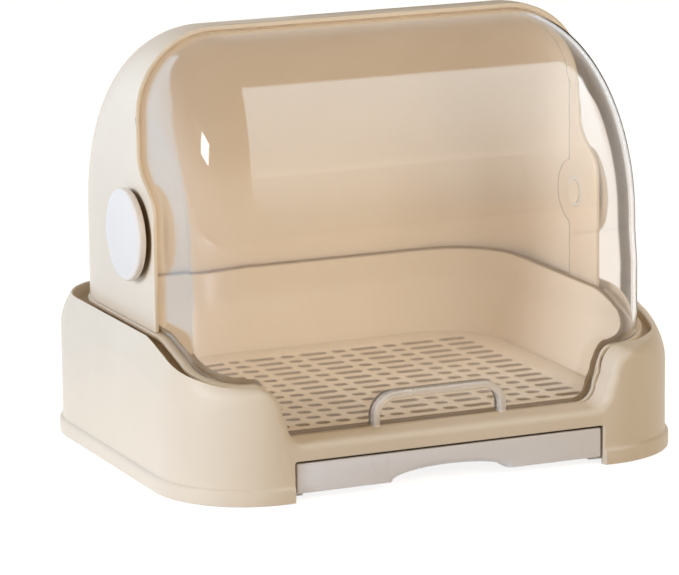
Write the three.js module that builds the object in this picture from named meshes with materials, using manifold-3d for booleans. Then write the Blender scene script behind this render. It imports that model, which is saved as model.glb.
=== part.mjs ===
// A baby bottle drying rack: a cream base with a drip drawer in its front, an inner bin with a
// slotted drain grille, and a domed cover whose clear visor swings up inside the rear shell.
// Millimetres, +Z up, front towards -Y, origin on the table under the middle of the base.
import * as THREE from "three";
import { mergeVertices } from "three/addons/utils/BufferGeometryUtils.js";
import Module from "manifold-3d";

const wasm = await Module();
wasm.setup();

// Overall sizes
const WIDTH = 315;
const DEPTH = 255;
const HEIGHT = 250;

// Clearances, and how far a cut runs past what it cuts
const SEAM = 0.3;
const RUNNING = 0.5;
const OVERRUN = 3;
const WELD = 1e-4;

// Base shell
const FOOT_HEIGHT = 10;
const FOOT_STEP = 2;
const FOOT_CHAMFER = 1.2;
const BASE_CORNER = 54;
const BASE_WALL = 3;
const BASE_LIFT = 0.5;
const DECK = 2.5;
const DECK_REACH = 34;

// Rim heights: high along the sides and back, a shoulder at each front corner, a low ledge between
const RIM_HEIGHT = 83.3;
const SHOULDER_HEIGHT = 65.3;
const LEDGE_HEIGHT = 33.5;

// Rim widths, and how deep the cover sits behind the rim
const RIM_WIDTH = 7.3;
const REAR_RIM_WIDTH = 8.5;
const LEDGE_WIDTH = 17;
const TROUGH_DEPTH = 9;
const GROOVE_DEPTH = 4.8;
const TROUGH_LIP = 0.5;

// Rounding of the rim's outer edge: small in front, tall and leaning along the sides and back
const FRONT_ROUND = 5;
const SIDE_ROUND_WIDTH = 6.5;
const SIDE_ROUND_DROP = 18;
const ROUND_BULGE = 0.3;

// Where the rim steps up from the ledge, and where it climbs from the shoulders to the sides
const STEP_MARGIN = 2;
const STEP_LEAN = 1.5;
const STEP_TOP_RADIUS = 15;
const STEP_FOOT_RADIUS = 10;
const CLIMB_FOOT = 16.5;
const CLIMB_TOP = 33;
const CLIMB_FOOT_PULL = 47;
const CLIMB_TOP_PULL = 14;
const BLEND_FOOT = 10;
const BLEND_TOP = 64;

// Inner bin
const BEAD_GAP = 0.5;
const BEAD_RISE = 1.2;
const FLANGE_DROP = 1.2;
const FLANGE_THICK = 2.5;
const FLANGE_MARGIN = 1;
const BIN_WALL = 2;
const BIN_FLOOR = 3;
const BIN_FLOOR_TOP = 28;
const BIN_STRAIGHT = 18;
const BIN_TAPER = 15.2;
const BIN_BACK_TAPER = 11;
const BIN_FRONT_TAPER = 2;
const BIN_FRONT_CORNER = 34;
const BIN_BACK_CORNER = 44;
const OUTLET_RADIUS = 9;
const OUTLET_WALL = 2;
const OUTLET_DROP = 2.6;

// Bosses under the bin, and the tabs of the base that they stand on
const BOSS_RADIUS = 5;
const BOSS_INSET = 6.4;
const BOSS_BACK_INSET = 35.5;
const TAB_TOP = 12;
const TAB_THICK = 3;
const TAB_WIDTH = 24;
const TAB_MARGIN = 11;

// Screws
const SCREW_RADIUS = 1.5;
const SCREW_HEAD_RADIUS = 3;
const SCREW_HEAD = 2;
const SCREW_BITE = 9;

// Drain grille
const GRILLE_TOP = 34.5;
const GRILLE_THICK = 2.4;
const GRILLE_GAP = 1.2;
const GRILLE_LEG_RADIUS = 3.5;
const GRILLE_LEG_INSET = 11;
const GRILLE_LEG_FRONT = 18;
const GRILLE_LEG_BACK = 39;
const SLOT_WIDTH = 6.4;
const SLOT_BACK_ROWS = 5;
const SLOT_PITCH = 13.2;
const SLOT_FRONT_BORDER = 4;
const SLOT_BACK_BORDER = 21;
const SLOT_SIDE_BORDER = 18;
const LONG_SLOT = 17;
const SHORT_SLOT = 8.4;
const SLOT_BRIDGE = 4;

// Drawer opening, drip drawer and its rails
const OPENING_MARGIN = 4.5;
const OPENING_TOP = 23.3;
const DRAWER_GAP = 1.4;
const DRAWER_BOTTOM = 5;
const DRAWER_BACK_ROOM = 54;
const DRAWER_WALL = 2;
const DRAWER_FRONT = 3;
const DRAWER_INSET = 1;
const DRAWER_SIDE_GAP = 1;
const DRAWER_REAR_DROP = 2.4;
const PULL_HALF = 35;
const PULL_DEPTH = 26;
const PULL_RISE = 6;
const RAIL_WALL = 2.5;
const RAIL_LIP = 6;
const RAIL_LIP_THICK = 2;
const RAIL_FLANGE = 9;
const RAIL_BOSS_DROP = 4;
const RAIL_SCREW_INSET = 41.5;
const RAIL_BOSS_RADIUS = 4.5;

// Cover: rear shell and clear visor, both about the pivot
const COVER_INSET = 15;
const PIVOT_Y = -5;
const SHELL_WALL = 2.5;
const SHELL_CORNER = 48;
const SHELL_INNER_CORNER = 44;
const RIDGE_SETBACK = 4.5;
const CHEEK_SETBACK = 28;
const CHEEK_STEP_RISE = 12.5;
const CHEEK_TOP_RISE = 46.5;
const VISOR_GAP = 0.8;
const VISOR_WALL = 2.5;
const VISOR_INSET = 22.5;
const VISOR_FRONT_CORNER = 24;
const VISOR_LAP = 8.5;
const VISOR_TOP_GAP = 0.8;
const EAR_RADIUS = 19;

// Lifting grip moulded on the visor's front
const GRIP_HALF = 41;
const GRIP_RISE = 19.5;
const GRIP_BAND = 4;
const GRIP_REACH = 8;
const GRIP_CORNER = 14;
const GRIP_LIFT = 0.8;

// Pivot: the visor's stub axle in its bush, and outside it a carrier, its screw and the knob
const KNOB_RADIUS = 26.5;
const KNOB_THICK = 5.5;
const KNOB_EDGE = 2;
const KNOB_FACE = 1.5;
const KNOB_STAND_OFF = 3;
const CARRIER_RADIUS = 18;
const CARRIER_THICK = 1.8;
const HUB_RADIUS = 7;
const HUB_FLAT = 5.4;
const BUSH_WALL = 1.8;
const BUSH_FLANGE = 4;
const BUSH_FLANGE_THICK = 1.2;
const PIVOT_SCREW_RADIUS = 2;
const PIVOT_SCREW_HEAD_RADIUS = 8;
const PIVOT_SCREW_HEAD = 1.6;
const PIVOT_SCREW_LENGTH = 9;

// Rubber feet
const PAD_RADIUS = 7;
const PAD_THICK = 3;
const PAD_SIDE_INSET = 35.5;
const PAD_END_INSET = 37.5;
const WEB_THICK = 2.5;

// How finely round stretches are divided
const CORNER_STEPS = 8;
const DOME_STEPS = 14;
const STEP_STEPS = 6;
const CLIMB_STEPS = 12;
const RIM_STEPS = 4;
const LINE_ROWS = 8;
const ROUND_STEPS = 28;
const SMALL_ROUND_STEPS = 12;

// Sizes that follow from the ones above
const WALL_HALF = WIDTH / 2 - FOOT_STEP;
const WALL_FRONT_Y = -DEPTH / 2 + FOOT_STEP;
const WALL_BACK_Y = DEPTH / 2 - FOOT_STEP;
const STEP_X = WALL_HALF - BASE_CORNER - STEP_MARGIN;
const OPENING_HALF = STEP_X - OPENING_MARGIN;
const SHELL_HALF = WALL_HALF - COVER_INSET;
const SHELL_RADIUS = WALL_BACK_Y - COVER_INSET - PIVOT_Y;
const PIVOT_Z = HEIGHT - SHELL_RADIUS;
const RIDGE_Y = PIVOT_Y - RIDGE_SETBACK;
const CHEEK_Y = PIVOT_Y - CHEEK_SETBACK;
const VISOR_TOP_RADIUS = SHELL_RADIUS - SHELL_WALL - VISOR_TOP_GAP;
const VISOR_HALF = SHELL_HALF - SHELL_WALL - VISOR_GAP;
const VISOR_FRONT_Y = WALL_FRONT_Y + VISOR_INSET;
const VISOR_REACH = PIVOT_Y - VISOR_FRONT_Y;
const BUSH_OUT_X = SHELL_HALF + SEAM + BUSH_FLANGE_THICK;
const KNOB_INSIDE_X = SHELL_HALF + KNOB_STAND_OFF;
const CARRIER_OUT_X = KNOB_INSIDE_X + CARRIER_THICK;
const STUB_END_X = CARRIER_OUT_X - SEAM;
const BIN_HALF_WIDTH = VISOR_HALF - VISOR_WALL - BEAD_GAP;
const BIN_FRONT_Y = VISOR_FRONT_Y + VISOR_WALL + BEAD_GAP;
const BIN_BACK_Y = PIVOT_Y + SHELL_RADIUS - SHELL_WALL - BEAD_GAP;
const BIN_UNDERSIDE = BIN_FLOOR_TOP - BIN_FLOOR;
const BOSS_X = BIN_HALF_WIDTH - BIN_TAPER - BOSS_INSET;
const BOSS_Y = BIN_BACK_Y - BOSS_BACK_INSET;
const TAB_INNER_X = BOSS_X - TAB_MARGIN;
const DRAWER_HALF = OPENING_HALF - DRAWER_GAP;
const DRAWER_TOP = OPENING_TOP - DRAWER_GAP;
const DRAWER_FRONT_Y = WALL_FRONT_Y + DRAWER_INSET;
const DRAWER_BACK_Y = WALL_BACK_Y - DRAWER_BACK_ROOM;
const RAIL_TOP = BIN_UNDERSIDE - RAIL_BOSS_DROP - SEAM;
const RAIL_INNER_X = DRAWER_HALF + DRAWER_SIDE_GAP;
const RAIL_FRONT_Y = WALL_FRONT_Y + BASE_WALL + OVERRUN;
const RAIL_SCREW_X = RAIL_INNER_X + (RAIL_FLANGE + RAIL_WALL) / 2;
const RAIL_SCREW_Y = BIN_BACK_Y - RAIL_SCREW_INSET;
const PAD_X = WALL_HALF - PAD_SIDE_INSET;
const PAD_Y = WALL_BACK_Y - PAD_END_INSET;

// Turns a closed three.js geometry into a solid that can be joined and cut.
function solid(geometry) {
  const bare = geometry.clone();
  bare.deleteAttribute("normal");
  bare.deleteAttribute("uv");
  const merged = mergeVertices(bare, WELD);
  const mesh = new wasm.Mesh({
    numProp: 3,
    vertProperties: new Float32Array(merged.attributes.position.array),
    triVerts: new Uint32Array(merged.index.array),
  });
  return new wasm.Manifold(mesh);
}

// A solid from a closed geometry whose faces may be turned inwards.
function outwards(geometry) {
  const body = solid(geometry);
  if (body.volume() > 0) return body;
  const turned = geometry.clone();
  turned.setIndex(Array.from(geometry.index.array).reverse());
  return solid(turned);
}

// Turns a solid back into a geometry for a mesh.
function geometryOf(body) {
  const mesh = body.getMesh();
  const geometry = new THREE.BufferGeometry();
  geometry.setAttribute("position", new THREE.BufferAttribute(mesh.vertProperties, 3));
  geometry.setIndex(new THREE.BufferAttribute(mesh.triVerts, 1));
  return geometry;
}

function joined(parts) {
  return parts.reduce((sum, part) => sum.add(part));
}

function shapeOf(points, holes = []) {
  const shape = new THREE.Shape(points.map(([u, v]) => new THREE.Vector2(u, v)));
  shape.holes = holes.map((hole) => new THREE.Path(hole.map(([u, v]) => new THREE.Vector2(u, v))));
  return shape;
}

function extruded(points, depth, holes) {
  return new THREE.ExtrudeGeometry(shapeOf(points, holes), { depth, bevelEnabled: false, steps: 1 });
}

// An outline of [x, y] points, extruded upwards.
function prismZ(points, low, high, holes) {
  return solid(extruded(points, high - low, holes).translate(0, 0, low));
}

// An outline of [y, z] points, extruded along X.
function prismX(points, low, high) {
  const turn = new THREE.Matrix4().set(0, 0, 1, low, 1, 0, 0, 0, 0, 1, 0, 0, 0, 0, 0, 1);
  return solid(extruded(points, high - low).applyMatrix4(turn));
}

// An outline of [x, z] points, extruded along Y.
function prismY(points, low, high) {
  const swapped = points.map(([x, z]) => [z, x]);
  const turn = new THREE.Matrix4().set(0, 1, 0, 0, 0, 0, 1, low, 1, 0, 0, 0, 0, 0, 0, 1);
  return solid(extruded(swapped, high - low).applyMatrix4(turn));
}

function box(x0, x1, y0, y1, z0, z1) {
  const geometry = new THREE.BoxGeometry(x1 - x0, y1 - y0, z1 - z0);
  return solid(geometry.translate((x0 + x1) / 2, (y0 + y1) / 2, (z0 + z1) / 2));
}

// A round bar along Z.
function barZ(radius, x, y, low, high, steps = SMALL_ROUND_STEPS) {
  const geometry = new THREE.CylinderGeometry(radius, radius, high - low, steps);
  return solid(geometry.rotateX(Math.PI / 2).translate(x, y, (low + high) / 2));
}

// A round bar along X.
function barX(radius, y, z, low, high, steps = ROUND_STEPS) {
  const geometry = new THREE.CylinderGeometry(radius, radius, high - low, steps);
  return solid(geometry.rotateZ(Math.PI / 2).translate((low + high) / 2, y, z));
}

// Points of an arc, angles in degrees.
function arc(u, v, radius, from, to, steps = CORNER_STEPS) {
  return Array.from({ length: steps + 1 }, (_, k) => {
    const angle = THREE.MathUtils.degToRad(from + ((to - from) * k) / steps);
    return [u + radius * Math.cos(angle), v + radius * Math.sin(angle)];
  });
}

// A rectangle with round corners, counter-clockwise, with its own radii in front and behind.
function roundedOutline(half, front, back, frontRadius, backRadius) {
  return [
    ...arc(half - backRadius, back - backRadius, backRadius, 0, 90),
    ...arc(-half + backRadius, back - backRadius, backRadius, 90, 180),
    ...arc(-half + frontRadius, front + frontRadius, frontRadius, 180, 270),
    ...arc(half - frontRadius, front + frontRadius, frontRadius, 270, 360),
  ];
}

// A solid through outlines at rising heights, closed by flat ends.
function loft(levels) {
  const count = levels[0].outline.length;
  const positions = [];
  for (const { outline, z } of levels) {
    for (const [x, y] of outline) positions.push(x, y, z);
  }
  const index = [];
  for (let ring = 0; ring + 1 < levels.length; ring++) {
    for (let k = 0; k < count; k++) {
      const a = ring * count + k;
      const b = ring * count + ((k + 1) % count);
      index.push(a, b, b + count, a, b + count, a + count);
    }
  }
  const ends = [[0, levels[0], false], [(levels.length - 1) * count, levels[levels.length - 1], true]];
  for (const [start, { outline, z }, top] of ends) {
    const middle = positions.length / 3;
    const sum = outline.reduce(([u, v], [x, y]) => [u + x, v + y], [0, 0]);
    positions.push(sum[0] / count, sum[1] / count, z);
    for (let k = 0; k < count; k++) {
      const a = start + k;
      const b = start + ((k + 1) % count);
      index.push(...(top ? [a, b, middle] : [b, a, middle]));
    }
  }
  const geometry = new THREE.BufferGeometry();
  geometry.setAttribute("position", new THREE.Float32BufferAttribute(positions, 3));
  geometry.setIndex(index);
  return solid(geometry);
}

// Lengths along the wall, from the middle of the front round to the middle of the back
const CORNER_START = WALL_HALF - BASE_CORNER;
const CORNER_LENGTH = (BASE_CORNER * Math.PI) / 2;
const SIDE_LENGTH = WALL_BACK_Y - WALL_FRONT_Y - 2 * BASE_CORNER;
const SIDE_START = CORNER_START + CORNER_LENGTH;
const BACK_CORNER_START = SIDE_START + SIDE_LENGTH;
const BACK_START = BACK_CORNER_START + CORNER_LENGTH;
const HALF_LENGTH = BACK_START + CORNER_START;

// The point of the right half of the wall at a length along it, `inset` inwards.
function wallPoint(length, inset) {
  const reach = BASE_CORNER - inset;
  if (length <= CORNER_START) return [length, WALL_FRONT_Y + inset];
  if (length < SIDE_START) {
    const angle = (length - CORNER_START) / BASE_CORNER;
    return [
      CORNER_START + reach * Math.sin(angle),
      WALL_FRONT_Y + BASE_CORNER - reach * Math.cos(angle),
    ];
  }
  if (length <= BACK_CORNER_START) {
    return [WALL_HALF - inset, WALL_FRONT_Y + BASE_CORNER + length - SIDE_START];
  }
  if (length < BACK_START) {
    const angle = (length - BACK_CORNER_START) / BASE_CORNER;
    return [
      CORNER_START + reach * Math.cos(angle),
      WALL_BACK_Y - BASE_CORNER + reach * Math.sin(angle),
    ];
  }
  return [HALF_LENGTH - length, WALL_BACK_Y - inset];
}

// The rim line of the right half, as points of length along the wall and height.
function rimLine() {
  const foot = STEP_FOOT_RADIUS;
  const top = STEP_TOP_RADIUS;
  const climb = new THREE.CubicBezierCurve(
    new THREE.Vector2(CORNER_START + CLIMB_FOOT, SHOULDER_HEIGHT),
    new THREE.Vector2(CORNER_START + CLIMB_FOOT + CLIMB_FOOT_PULL, SHOULDER_HEIGHT),
    new THREE.Vector2(SIDE_START + CLIMB_TOP - CLIMB_TOP_PULL, RIM_HEIGHT),
    new THREE.Vector2(SIDE_START + CLIMB_TOP, RIM_HEIGHT),
  );
  const flat = [];
  for (let k = 0; k <= CORNER_STEPS; k++) {
    flat.push([BACK_CORNER_START + (CORNER_LENGTH * k) / CORNER_STEPS, RIM_HEIGHT]);
  }
  return [
    [0, LEDGE_HEIGHT],
    [STEP_X / 2, LEDGE_HEIGHT],
    ...arc(STEP_X - STEP_LEAN - foot, LEDGE_HEIGHT + foot, foot, 270, 360, STEP_STEPS),
    ...arc(STEP_X + STEP_LEAN + top, SHOULDER_HEIGHT - top, top, 180, 90, STEP_STEPS),
    ...climb.getPoints(CLIMB_STEPS).map(({ x, y }) => [x, y]),
    ...flat,
    [HALF_LENGTH, RIM_HEIGHT],
  ];
}

// Stations along the rim line: the line's own normal there, how far the section has changed from
// the front's to the side's, and how far to the back's.
function rimStations() {
  const line = rimLine();
  return line.map(([length, height], k) => {
    const [l0, h0] = line[Math.max(k - 1, 0)];
    const [l1, h1] = line[Math.min(k + 1, line.length - 1)];
    const ends = k === 0 || k === line.length - 1;
    const along = new THREE.Vector2(l1 - l0, ends ? 0 : h1 - h0).normalize();
    const round = length - CORNER_START;
    const sideShare = THREE.MathUtils.smoothstep(round, BLEND_FOOT, BLEND_TOP);
    const backShare = THREE.MathUtils.smoothstep(length, BACK_CORNER_START, BACK_START);
    return { length, height, along, sideShare, backShare };
  });
}

// A point of a station `inset` from the wall and `drop` below the rim line, square to that line.
function belowRim({ length, height, along }, inset, drop) {
  const [x, y] = wallPoint(Math.max(length + along.y * drop, 0), inset);
  return [x, y, height - along.x * drop];
}

function troughEdge({ sideShare, backShare }) {
  const side = THREE.MathUtils.lerp(LEDGE_WIDTH, RIM_WIDTH, sideShare);
  return THREE.MathUtils.lerp(side, REAR_RIM_WIDTH, backShare);
}

function troughDrop({ sideShare }) {
  return THREE.MathUtils.lerp(GROOVE_DEPTH, TROUGH_DEPTH, sideShare);
}

// A closed section carried round the whole wall. `section` gives a station's points in order.
function ring(section) {
  const right = rimStations().map(section);
  const left = right.slice(1, -1).reverse().map((points) => points.map(([x, y, z]) => [-x, y, z]));
  const stations = [...right, ...left];
  const rows = right[0].length;
  const index = [];
  stations.forEach((_, station) => {
    const next = (station + 1) % stations.length;
    for (let row = 0; row < rows; row++) {
      const after = (row + 1) % rows;
      const [a, b] = [station * rows + row, station * rows + after];
      const [c, d] = [next * rows + row, next * rows + after];
      index.push(a, c, d, a, d, b);
    }
  });
  const geometry = new THREE.BufferGeometry();
  geometry.setAttribute("position", new THREE.Float32BufferAttribute(stations.flat(2), 3));
  geometry.setIndex(index);
  return outwards(geometry);
}

// The space from the height `low` up to `drop` below the rim line, from outside the wall to deeper
// than the covers stand. `spread` widens it at both sides.
function underLine(drop, low = -OVERRUN, spread = 0) {
  const outer = -OVERRUN - FOOT_STEP - spread;
  const inner = DECK_REACH + OVERRUN + spread;
  const insets = Array.from({ length: LINE_ROWS + 1 }, (_, k) => {
    return THREE.MathUtils.lerp(outer, inner, k / LINE_ROWS);
  });
  return ring((station) => [
    [...wallPoint(station.length, outer), low],
    ...insets.map((inset) => belowRim(station, inset, drop)),
    [...wallPoint(station.length, inner), low],
  ]);
}

// The outline of the base's wall, `inset` further in.
function wallOutline(inset) {
  const radius = BASE_CORNER - inset;
  return roundedOutline(WALL_HALF - inset, WALL_FRONT_Y + inset, WALL_BACK_Y - inset, radius, radius);
}

// The rim's rounded outer edge as [inset, drop] points, from the wall up to the crest.
function rimRounding({ sideShare }) {
  const side = new THREE.QuadraticBezierCurve(
    new THREE.Vector2(0, SIDE_ROUND_DROP),
    new THREE.Vector2(ROUND_BULGE, SIDE_ROUND_DROP / 2),
    new THREE.Vector2(SIDE_ROUND_WIDTH, 0),
  ).getPoints(RIM_STEPS);
  return side.map((point, k) => {
    const angle = (Math.PI / 2) * (k / RIM_STEPS);
    const front = new THREE.Vector2(1 - Math.cos(angle), 1 - Math.sin(angle));
    return front.multiplyScalar(FRONT_ROUND).lerp(point, sideShare).toArray();
  });
}

function baseShell() {
  const walls = ring((station) => {
    const edge = troughEdge(station);
    const drop = troughDrop(station);
    const upright = (inset, z) => [...wallPoint(station.length, inset), z];
    return [
      upright(-FOOT_STEP, BASE_LIFT),
      upright(-FOOT_STEP, FOOT_HEIGHT - FOOT_CHAMFER),
      upright(0, FOOT_HEIGHT),
      ...rimRounding(station).map(([inset, fall]) => belowRim(station, inset, fall)),
      belowRim(station, edge - TROUGH_LIP, 0),
      belowRim(station, edge, TROUGH_LIP),
      belowRim(station, edge, drop),
      belowRim(station, DECK_REACH, drop),
      belowRim(station, DECK_REACH, drop + DECK),
      belowRim(station, BASE_WALL, drop + DECK),
      upright(BASE_WALL, BASE_LIFT),
    ];
  });
  const hole = prismZ(binOutline(-SEAM), -OVERRUN, HEIGHT);
  const opening = box(
    -OPENING_HALF, OPENING_HALF,
    WALL_FRONT_Y - FOOT_STEP - OVERRUN, WALL_FRONT_Y + BASE_WALL + OVERRUN,
    -OVERRUN, OPENING_TOP,
  );
  return joined([walls.subtract(hole).subtract(opening), ...baseTabs()]);
}

// Two places in rising order.
function between(a, b) {
  return [Math.min(a, b), Math.max(a, b)];
}

// Tabs that carry the bin, and corner webs that carry the rubber feet, all joined to the wall.
function baseTabs() {
  const inside = prismZ(wallOutline(BASE_WALL / 2), BASE_LIFT, RIM_HEIGHT);
  const tabs = [];
  for (const side of [-1, 1]) {
    for (const end of [-1, 1]) {
      const y = end * BOSS_Y;
      const tab = box(
        ...between(side * TAB_INNER_X, side * WALL_HALF),
        y - TAB_WIDTH / 2, y + TAB_WIDTH / 2,
        TAB_TOP - TAB_THICK, TAB_TOP,
      );
      const bore = barZ(SCREW_RADIUS + SEAM, side * BOSS_X, y, 0, RIM_HEIGHT);
      tabs.push(tab.intersect(inside).subtract(bore));
      const web = box(
        ...between(side * (PAD_X - PAD_RADIUS), side * WALL_HALF),
        ...between(end * (PAD_Y - PAD_RADIUS), end * WALL_BACK_Y),
        PAD_THICK + SEAM, PAD_THICK + SEAM + WEB_THICK,
      );
      tabs.push(web.intersect(inside));
    }
  }
  return tabs;
}

// The outline of the bin's outer wall at the rim, `inset` further in.
function binOutline(inset) {
  return taperedOutline(RIM_HEIGHT - BIN_STRAIGHT, inset);
}

// How far up its tapering stretch the bin's wall is at a height.
function binShareUp(z) {
  return (z - BIN_UNDERSIDE) / (RIM_HEIGHT - BIN_STRAIGHT - BIN_UNDERSIDE);
}

// The outline of the bin's outer wall at a height on its tapering stretch.
function taperedOutline(z, inset) {
  const shareDown = 1 - binShareUp(z);
  return roundedOutline(
    BIN_HALF_WIDTH - inset - BIN_TAPER * shareDown,
    BIN_FRONT_Y + inset + BIN_FRONT_TAPER * shareDown,
    BIN_BACK_Y - inset - BIN_BACK_TAPER * shareDown,
    BIN_FRONT_CORNER - inset,
    BIN_BACK_CORNER - inset,
  );
}

// The bin's tapering body, `inset` further in all round.
function binBody(low, inset) {
  return loft([
    { outline: taperedOutline(low, inset), z: low },
    { outline: binOutline(inset), z: RIM_HEIGHT - BIN_STRAIGHT },
    { outline: binOutline(inset), z: RIM_HEIGHT + BEAD_RISE + OVERRUN },
  ]);
}

// The flange round the bin that the cover stands on, following the rim line.
function binFlange() {
  const outline = roundedOutline(
    SHELL_HALF + FLANGE_MARGIN,
    VISOR_FRONT_Y - FLANGE_MARGIN,
    PIVOT_Y + SHELL_RADIUS + FLANGE_MARGIN,
    VISOR_FRONT_CORNER + SHELL_HALF - VISOR_HALF + FLANGE_MARGIN,
    SHELL_CORNER + FLANGE_MARGIN,
  );
  return prismZ(outline, 0, HEIGHT)
    .intersect(underLine(FLANGE_DROP))
    .subtract(underLine(FLANGE_DROP + FLANGE_THICK, -2 * OVERRUN, OVERRUN));
}

function innerBin() {
  const above = underLine(-BEAD_RISE, HEIGHT);
  const walls = binBody(BIN_UNDERSIDE, 0)
    .add(binFlange())
    .subtract(binBody(BIN_FLOOR_TOP, BIN_WALL))
    .subtract(above);
  const spoutLow = BIN_UNDERSIDE - OUTLET_DROP;
  const spout = barZ(OUTLET_RADIUS + OUTLET_WALL, 0, 0, spoutLow, BIN_FLOOR_TOP, ROUND_STEPS);
  const outlet = barZ(OUTLET_RADIUS, 0, 0, 0, RIM_HEIGHT, ROUND_STEPS);
  const parts = [walls, spout];
  const bores = [outlet];
  for (const side of [-1, 1]) {
    for (const end of [-1, 1]) {
      const low = TAB_TOP + SEAM;
      const root = BIN_UNDERSIDE + BIN_FLOOR / 2;
      parts.push(barZ(BOSS_RADIUS, side * BOSS_X, end * BOSS_Y, low, root));
      bores.push(barZ(SCREW_RADIUS + SEAM, side * BOSS_X, end * BOSS_Y, 0, low + SCREW_BITE + SEAM));
      const railBossLow = BIN_UNDERSIDE - RAIL_BOSS_DROP;
      parts.push(barZ(RAIL_BOSS_RADIUS, side * RAIL_SCREW_X, end * RAIL_SCREW_Y, railBossLow, root));
      bores.push(barZ(SCREW_RADIUS + SEAM, side * RAIL_SCREW_X, end * RAIL_SCREW_Y, 0, BIN_UNDERSIDE));
    }
  }
  return bores.reduce((body, bore) => body.subtract(bore), joined(parts));
}

// A screw standing head down along Z.
function uprightScrew(headBottom, length) {
  const profile = [
    [0, headBottom],
    [SCREW_HEAD_RADIUS, headBottom],
    [SCREW_HEAD_RADIUS, headBottom + SCREW_HEAD],
    [SCREW_RADIUS, headBottom + SCREW_HEAD],
    [SCREW_RADIUS, headBottom + SCREW_HEAD + length],
    [0, headBottom + SCREW_HEAD + length],
  ];
  return lathe(profile, SMALL_ROUND_STEPS);
}

// A profile of [radius, height] points turned about Z.
function lathe(profile, steps) {
  const points = profile.map(([r, z]) => new THREE.Vector2(r, z));
  return new THREE.LatheGeometry(points, steps).rotateX(Math.PI / 2);
}

// One slot of the grille, a bar with pointed ends.
function slotOutline(x, y, length) {
  const half = length / 2;
  const side = SLOT_WIDTH / 2;
  return [
    [x - half + side, y - side], [x + half - side, y - side], [x + half, y],
    [x + half - side, y + side], [x - half + side, y + side], [x - half, y],
  ];
}

// Long and short slots take turns outwards from the middle, as far as `reach`. In the front rows
// the third long slot of each side is split into two short ones.
function slotRow(y, split, reach) {
  const outlines = [slotOutline(0, y, LONG_SLOT)];
  const third = split ? [SHORT_SLOT, SHORT_SLOT] : [2 * SHORT_SLOT + SLOT_BRIDGE];
  const lengths = [SHORT_SLOT, LONG_SLOT, SHORT_SLOT, ...third, LONG_SLOT];
  let edge = LONG_SLOT / 2;
  for (const length of lengths) {
    const middle = edge + SLOT_BRIDGE + length / 2;
    edge = middle + length / 2;
    if (edge > reach) break;
    outlines.push(slotOutline(middle, y, length), slotOutline(-middle, y, length));
  }
  return outlines;
}

function drainGrille() {
  const bottom = GRILLE_TOP - GRILLE_THICK;
  const outline = taperedOutline(bottom, BIN_WALL + GRILLE_GAP);
  const half = Math.max(...outline.map(([x]) => x));
  const front = Math.min(...outline.map(([, y]) => y));
  const back = Math.max(...outline.map(([, y]) => y));
  const holes = [];
  const lastRow = back - SLOT_BACK_BORDER - SLOT_WIDTH / 2;
  const firstRow = front + SLOT_FRONT_BORDER + SLOT_WIDTH / 2;
  const gaps = Math.floor((lastRow - firstRow) / SLOT_PITCH);
  for (let row = 0; row <= gaps; row++) {
    const y = lastRow - row * SLOT_PITCH;
    holes.push(...slotRow(y, row >= SLOT_BACK_ROWS, half - SLOT_SIDE_BORDER));
  }
  const plate = prismZ(outline, bottom, GRILLE_TOP, holes);
  const legs = [];
  for (const x of [-half + GRILLE_LEG_INSET, half - GRILLE_LEG_INSET]) {
    for (const y of [front + GRILLE_LEG_FRONT, back - GRILLE_LEG_BACK]) {
      legs.push(barZ(GRILLE_LEG_RADIUS, x, y, BIN_FLOOR_TOP + SEAM, bottom + GRILLE_THICK / 2));
    }
  }
  return joined([plate, ...legs]);
}

function dripDrawer() {
  const frontBack = DRAWER_FRONT_Y + DRAWER_FRONT;
  const front = box(-DRAWER_HALF, DRAWER_HALF, DRAWER_FRONT_Y, frontBack, DRAWER_BOTTOM, DRAWER_TOP);
  const low = DRAWER_BOTTOM;
  const high = DRAWER_TOP - DRAWER_REAR_DROP;
  const half = DRAWER_HALF;
  const tray = box(-half, half, DRAWER_FRONT_Y, DRAWER_BACK_Y, low, high);
  const pull = (grow) => {
    const arch = arc(0, 0, 1, 0, 180, ROUND_STEPS / 2);
    const points = arch.map(([u, v]) => {
      return [u * (PULL_HALF + grow), DRAWER_BOTTOM + v * (PULL_RISE + grow)];
    });
    const lowered = [[-PULL_HALF - grow, -OVERRUN], [PULL_HALF + grow, -OVERRUN]];
    return prismY([...points, ...lowered], DRAWER_FRONT_Y - OVERRUN, DRAWER_FRONT_Y + PULL_DEPTH + grow);
  };
  const cavity = box(
    -half + DRAWER_WALL, half - DRAWER_WALL,
    frontBack, DRAWER_BACK_Y - DRAWER_WALL,
    low + DRAWER_WALL, HEIGHT,
  ).subtract(pull(DRAWER_WALL));
  return front.add(tray).subtract(cavity).subtract(pull(0));
}

// A drawer rail: a flange under the bin, a web beside the drawer and a lip below it.
function drawerRail(side) {
  const lipTop = DRAWER_BOTTOM - SEAM;
  const inner = RAIL_INNER_X;
  const outline = [
    [inner - RAIL_LIP, lipTop - RAIL_LIP_THICK],
    [inner + RAIL_WALL, lipTop - RAIL_LIP_THICK],
    [inner + RAIL_WALL, RAIL_TOP - RAIL_WALL],
    [inner + RAIL_WALL + RAIL_FLANGE, RAIL_TOP - RAIL_WALL],
    [inner + RAIL_WALL + RAIL_FLANGE, RAIL_TOP],
    [inner, RAIL_TOP],
    [inner, lipTop],
    [inner - RAIL_LIP, lipTop],
  ].map(([x, z]) => [side * x, z]);
  const rail = prismY(outline, RAIL_FRONT_Y, DRAWER_BACK_Y);
  const x = side * RAIL_SCREW_X;
  return [-1, 1].reduce(
    (body, end) => body.subtract(barZ(SCREW_RADIUS + SEAM, x, end * RAIL_SCREW_Y, lipTop, HEIGHT)),
    rail,
  );
}

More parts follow.
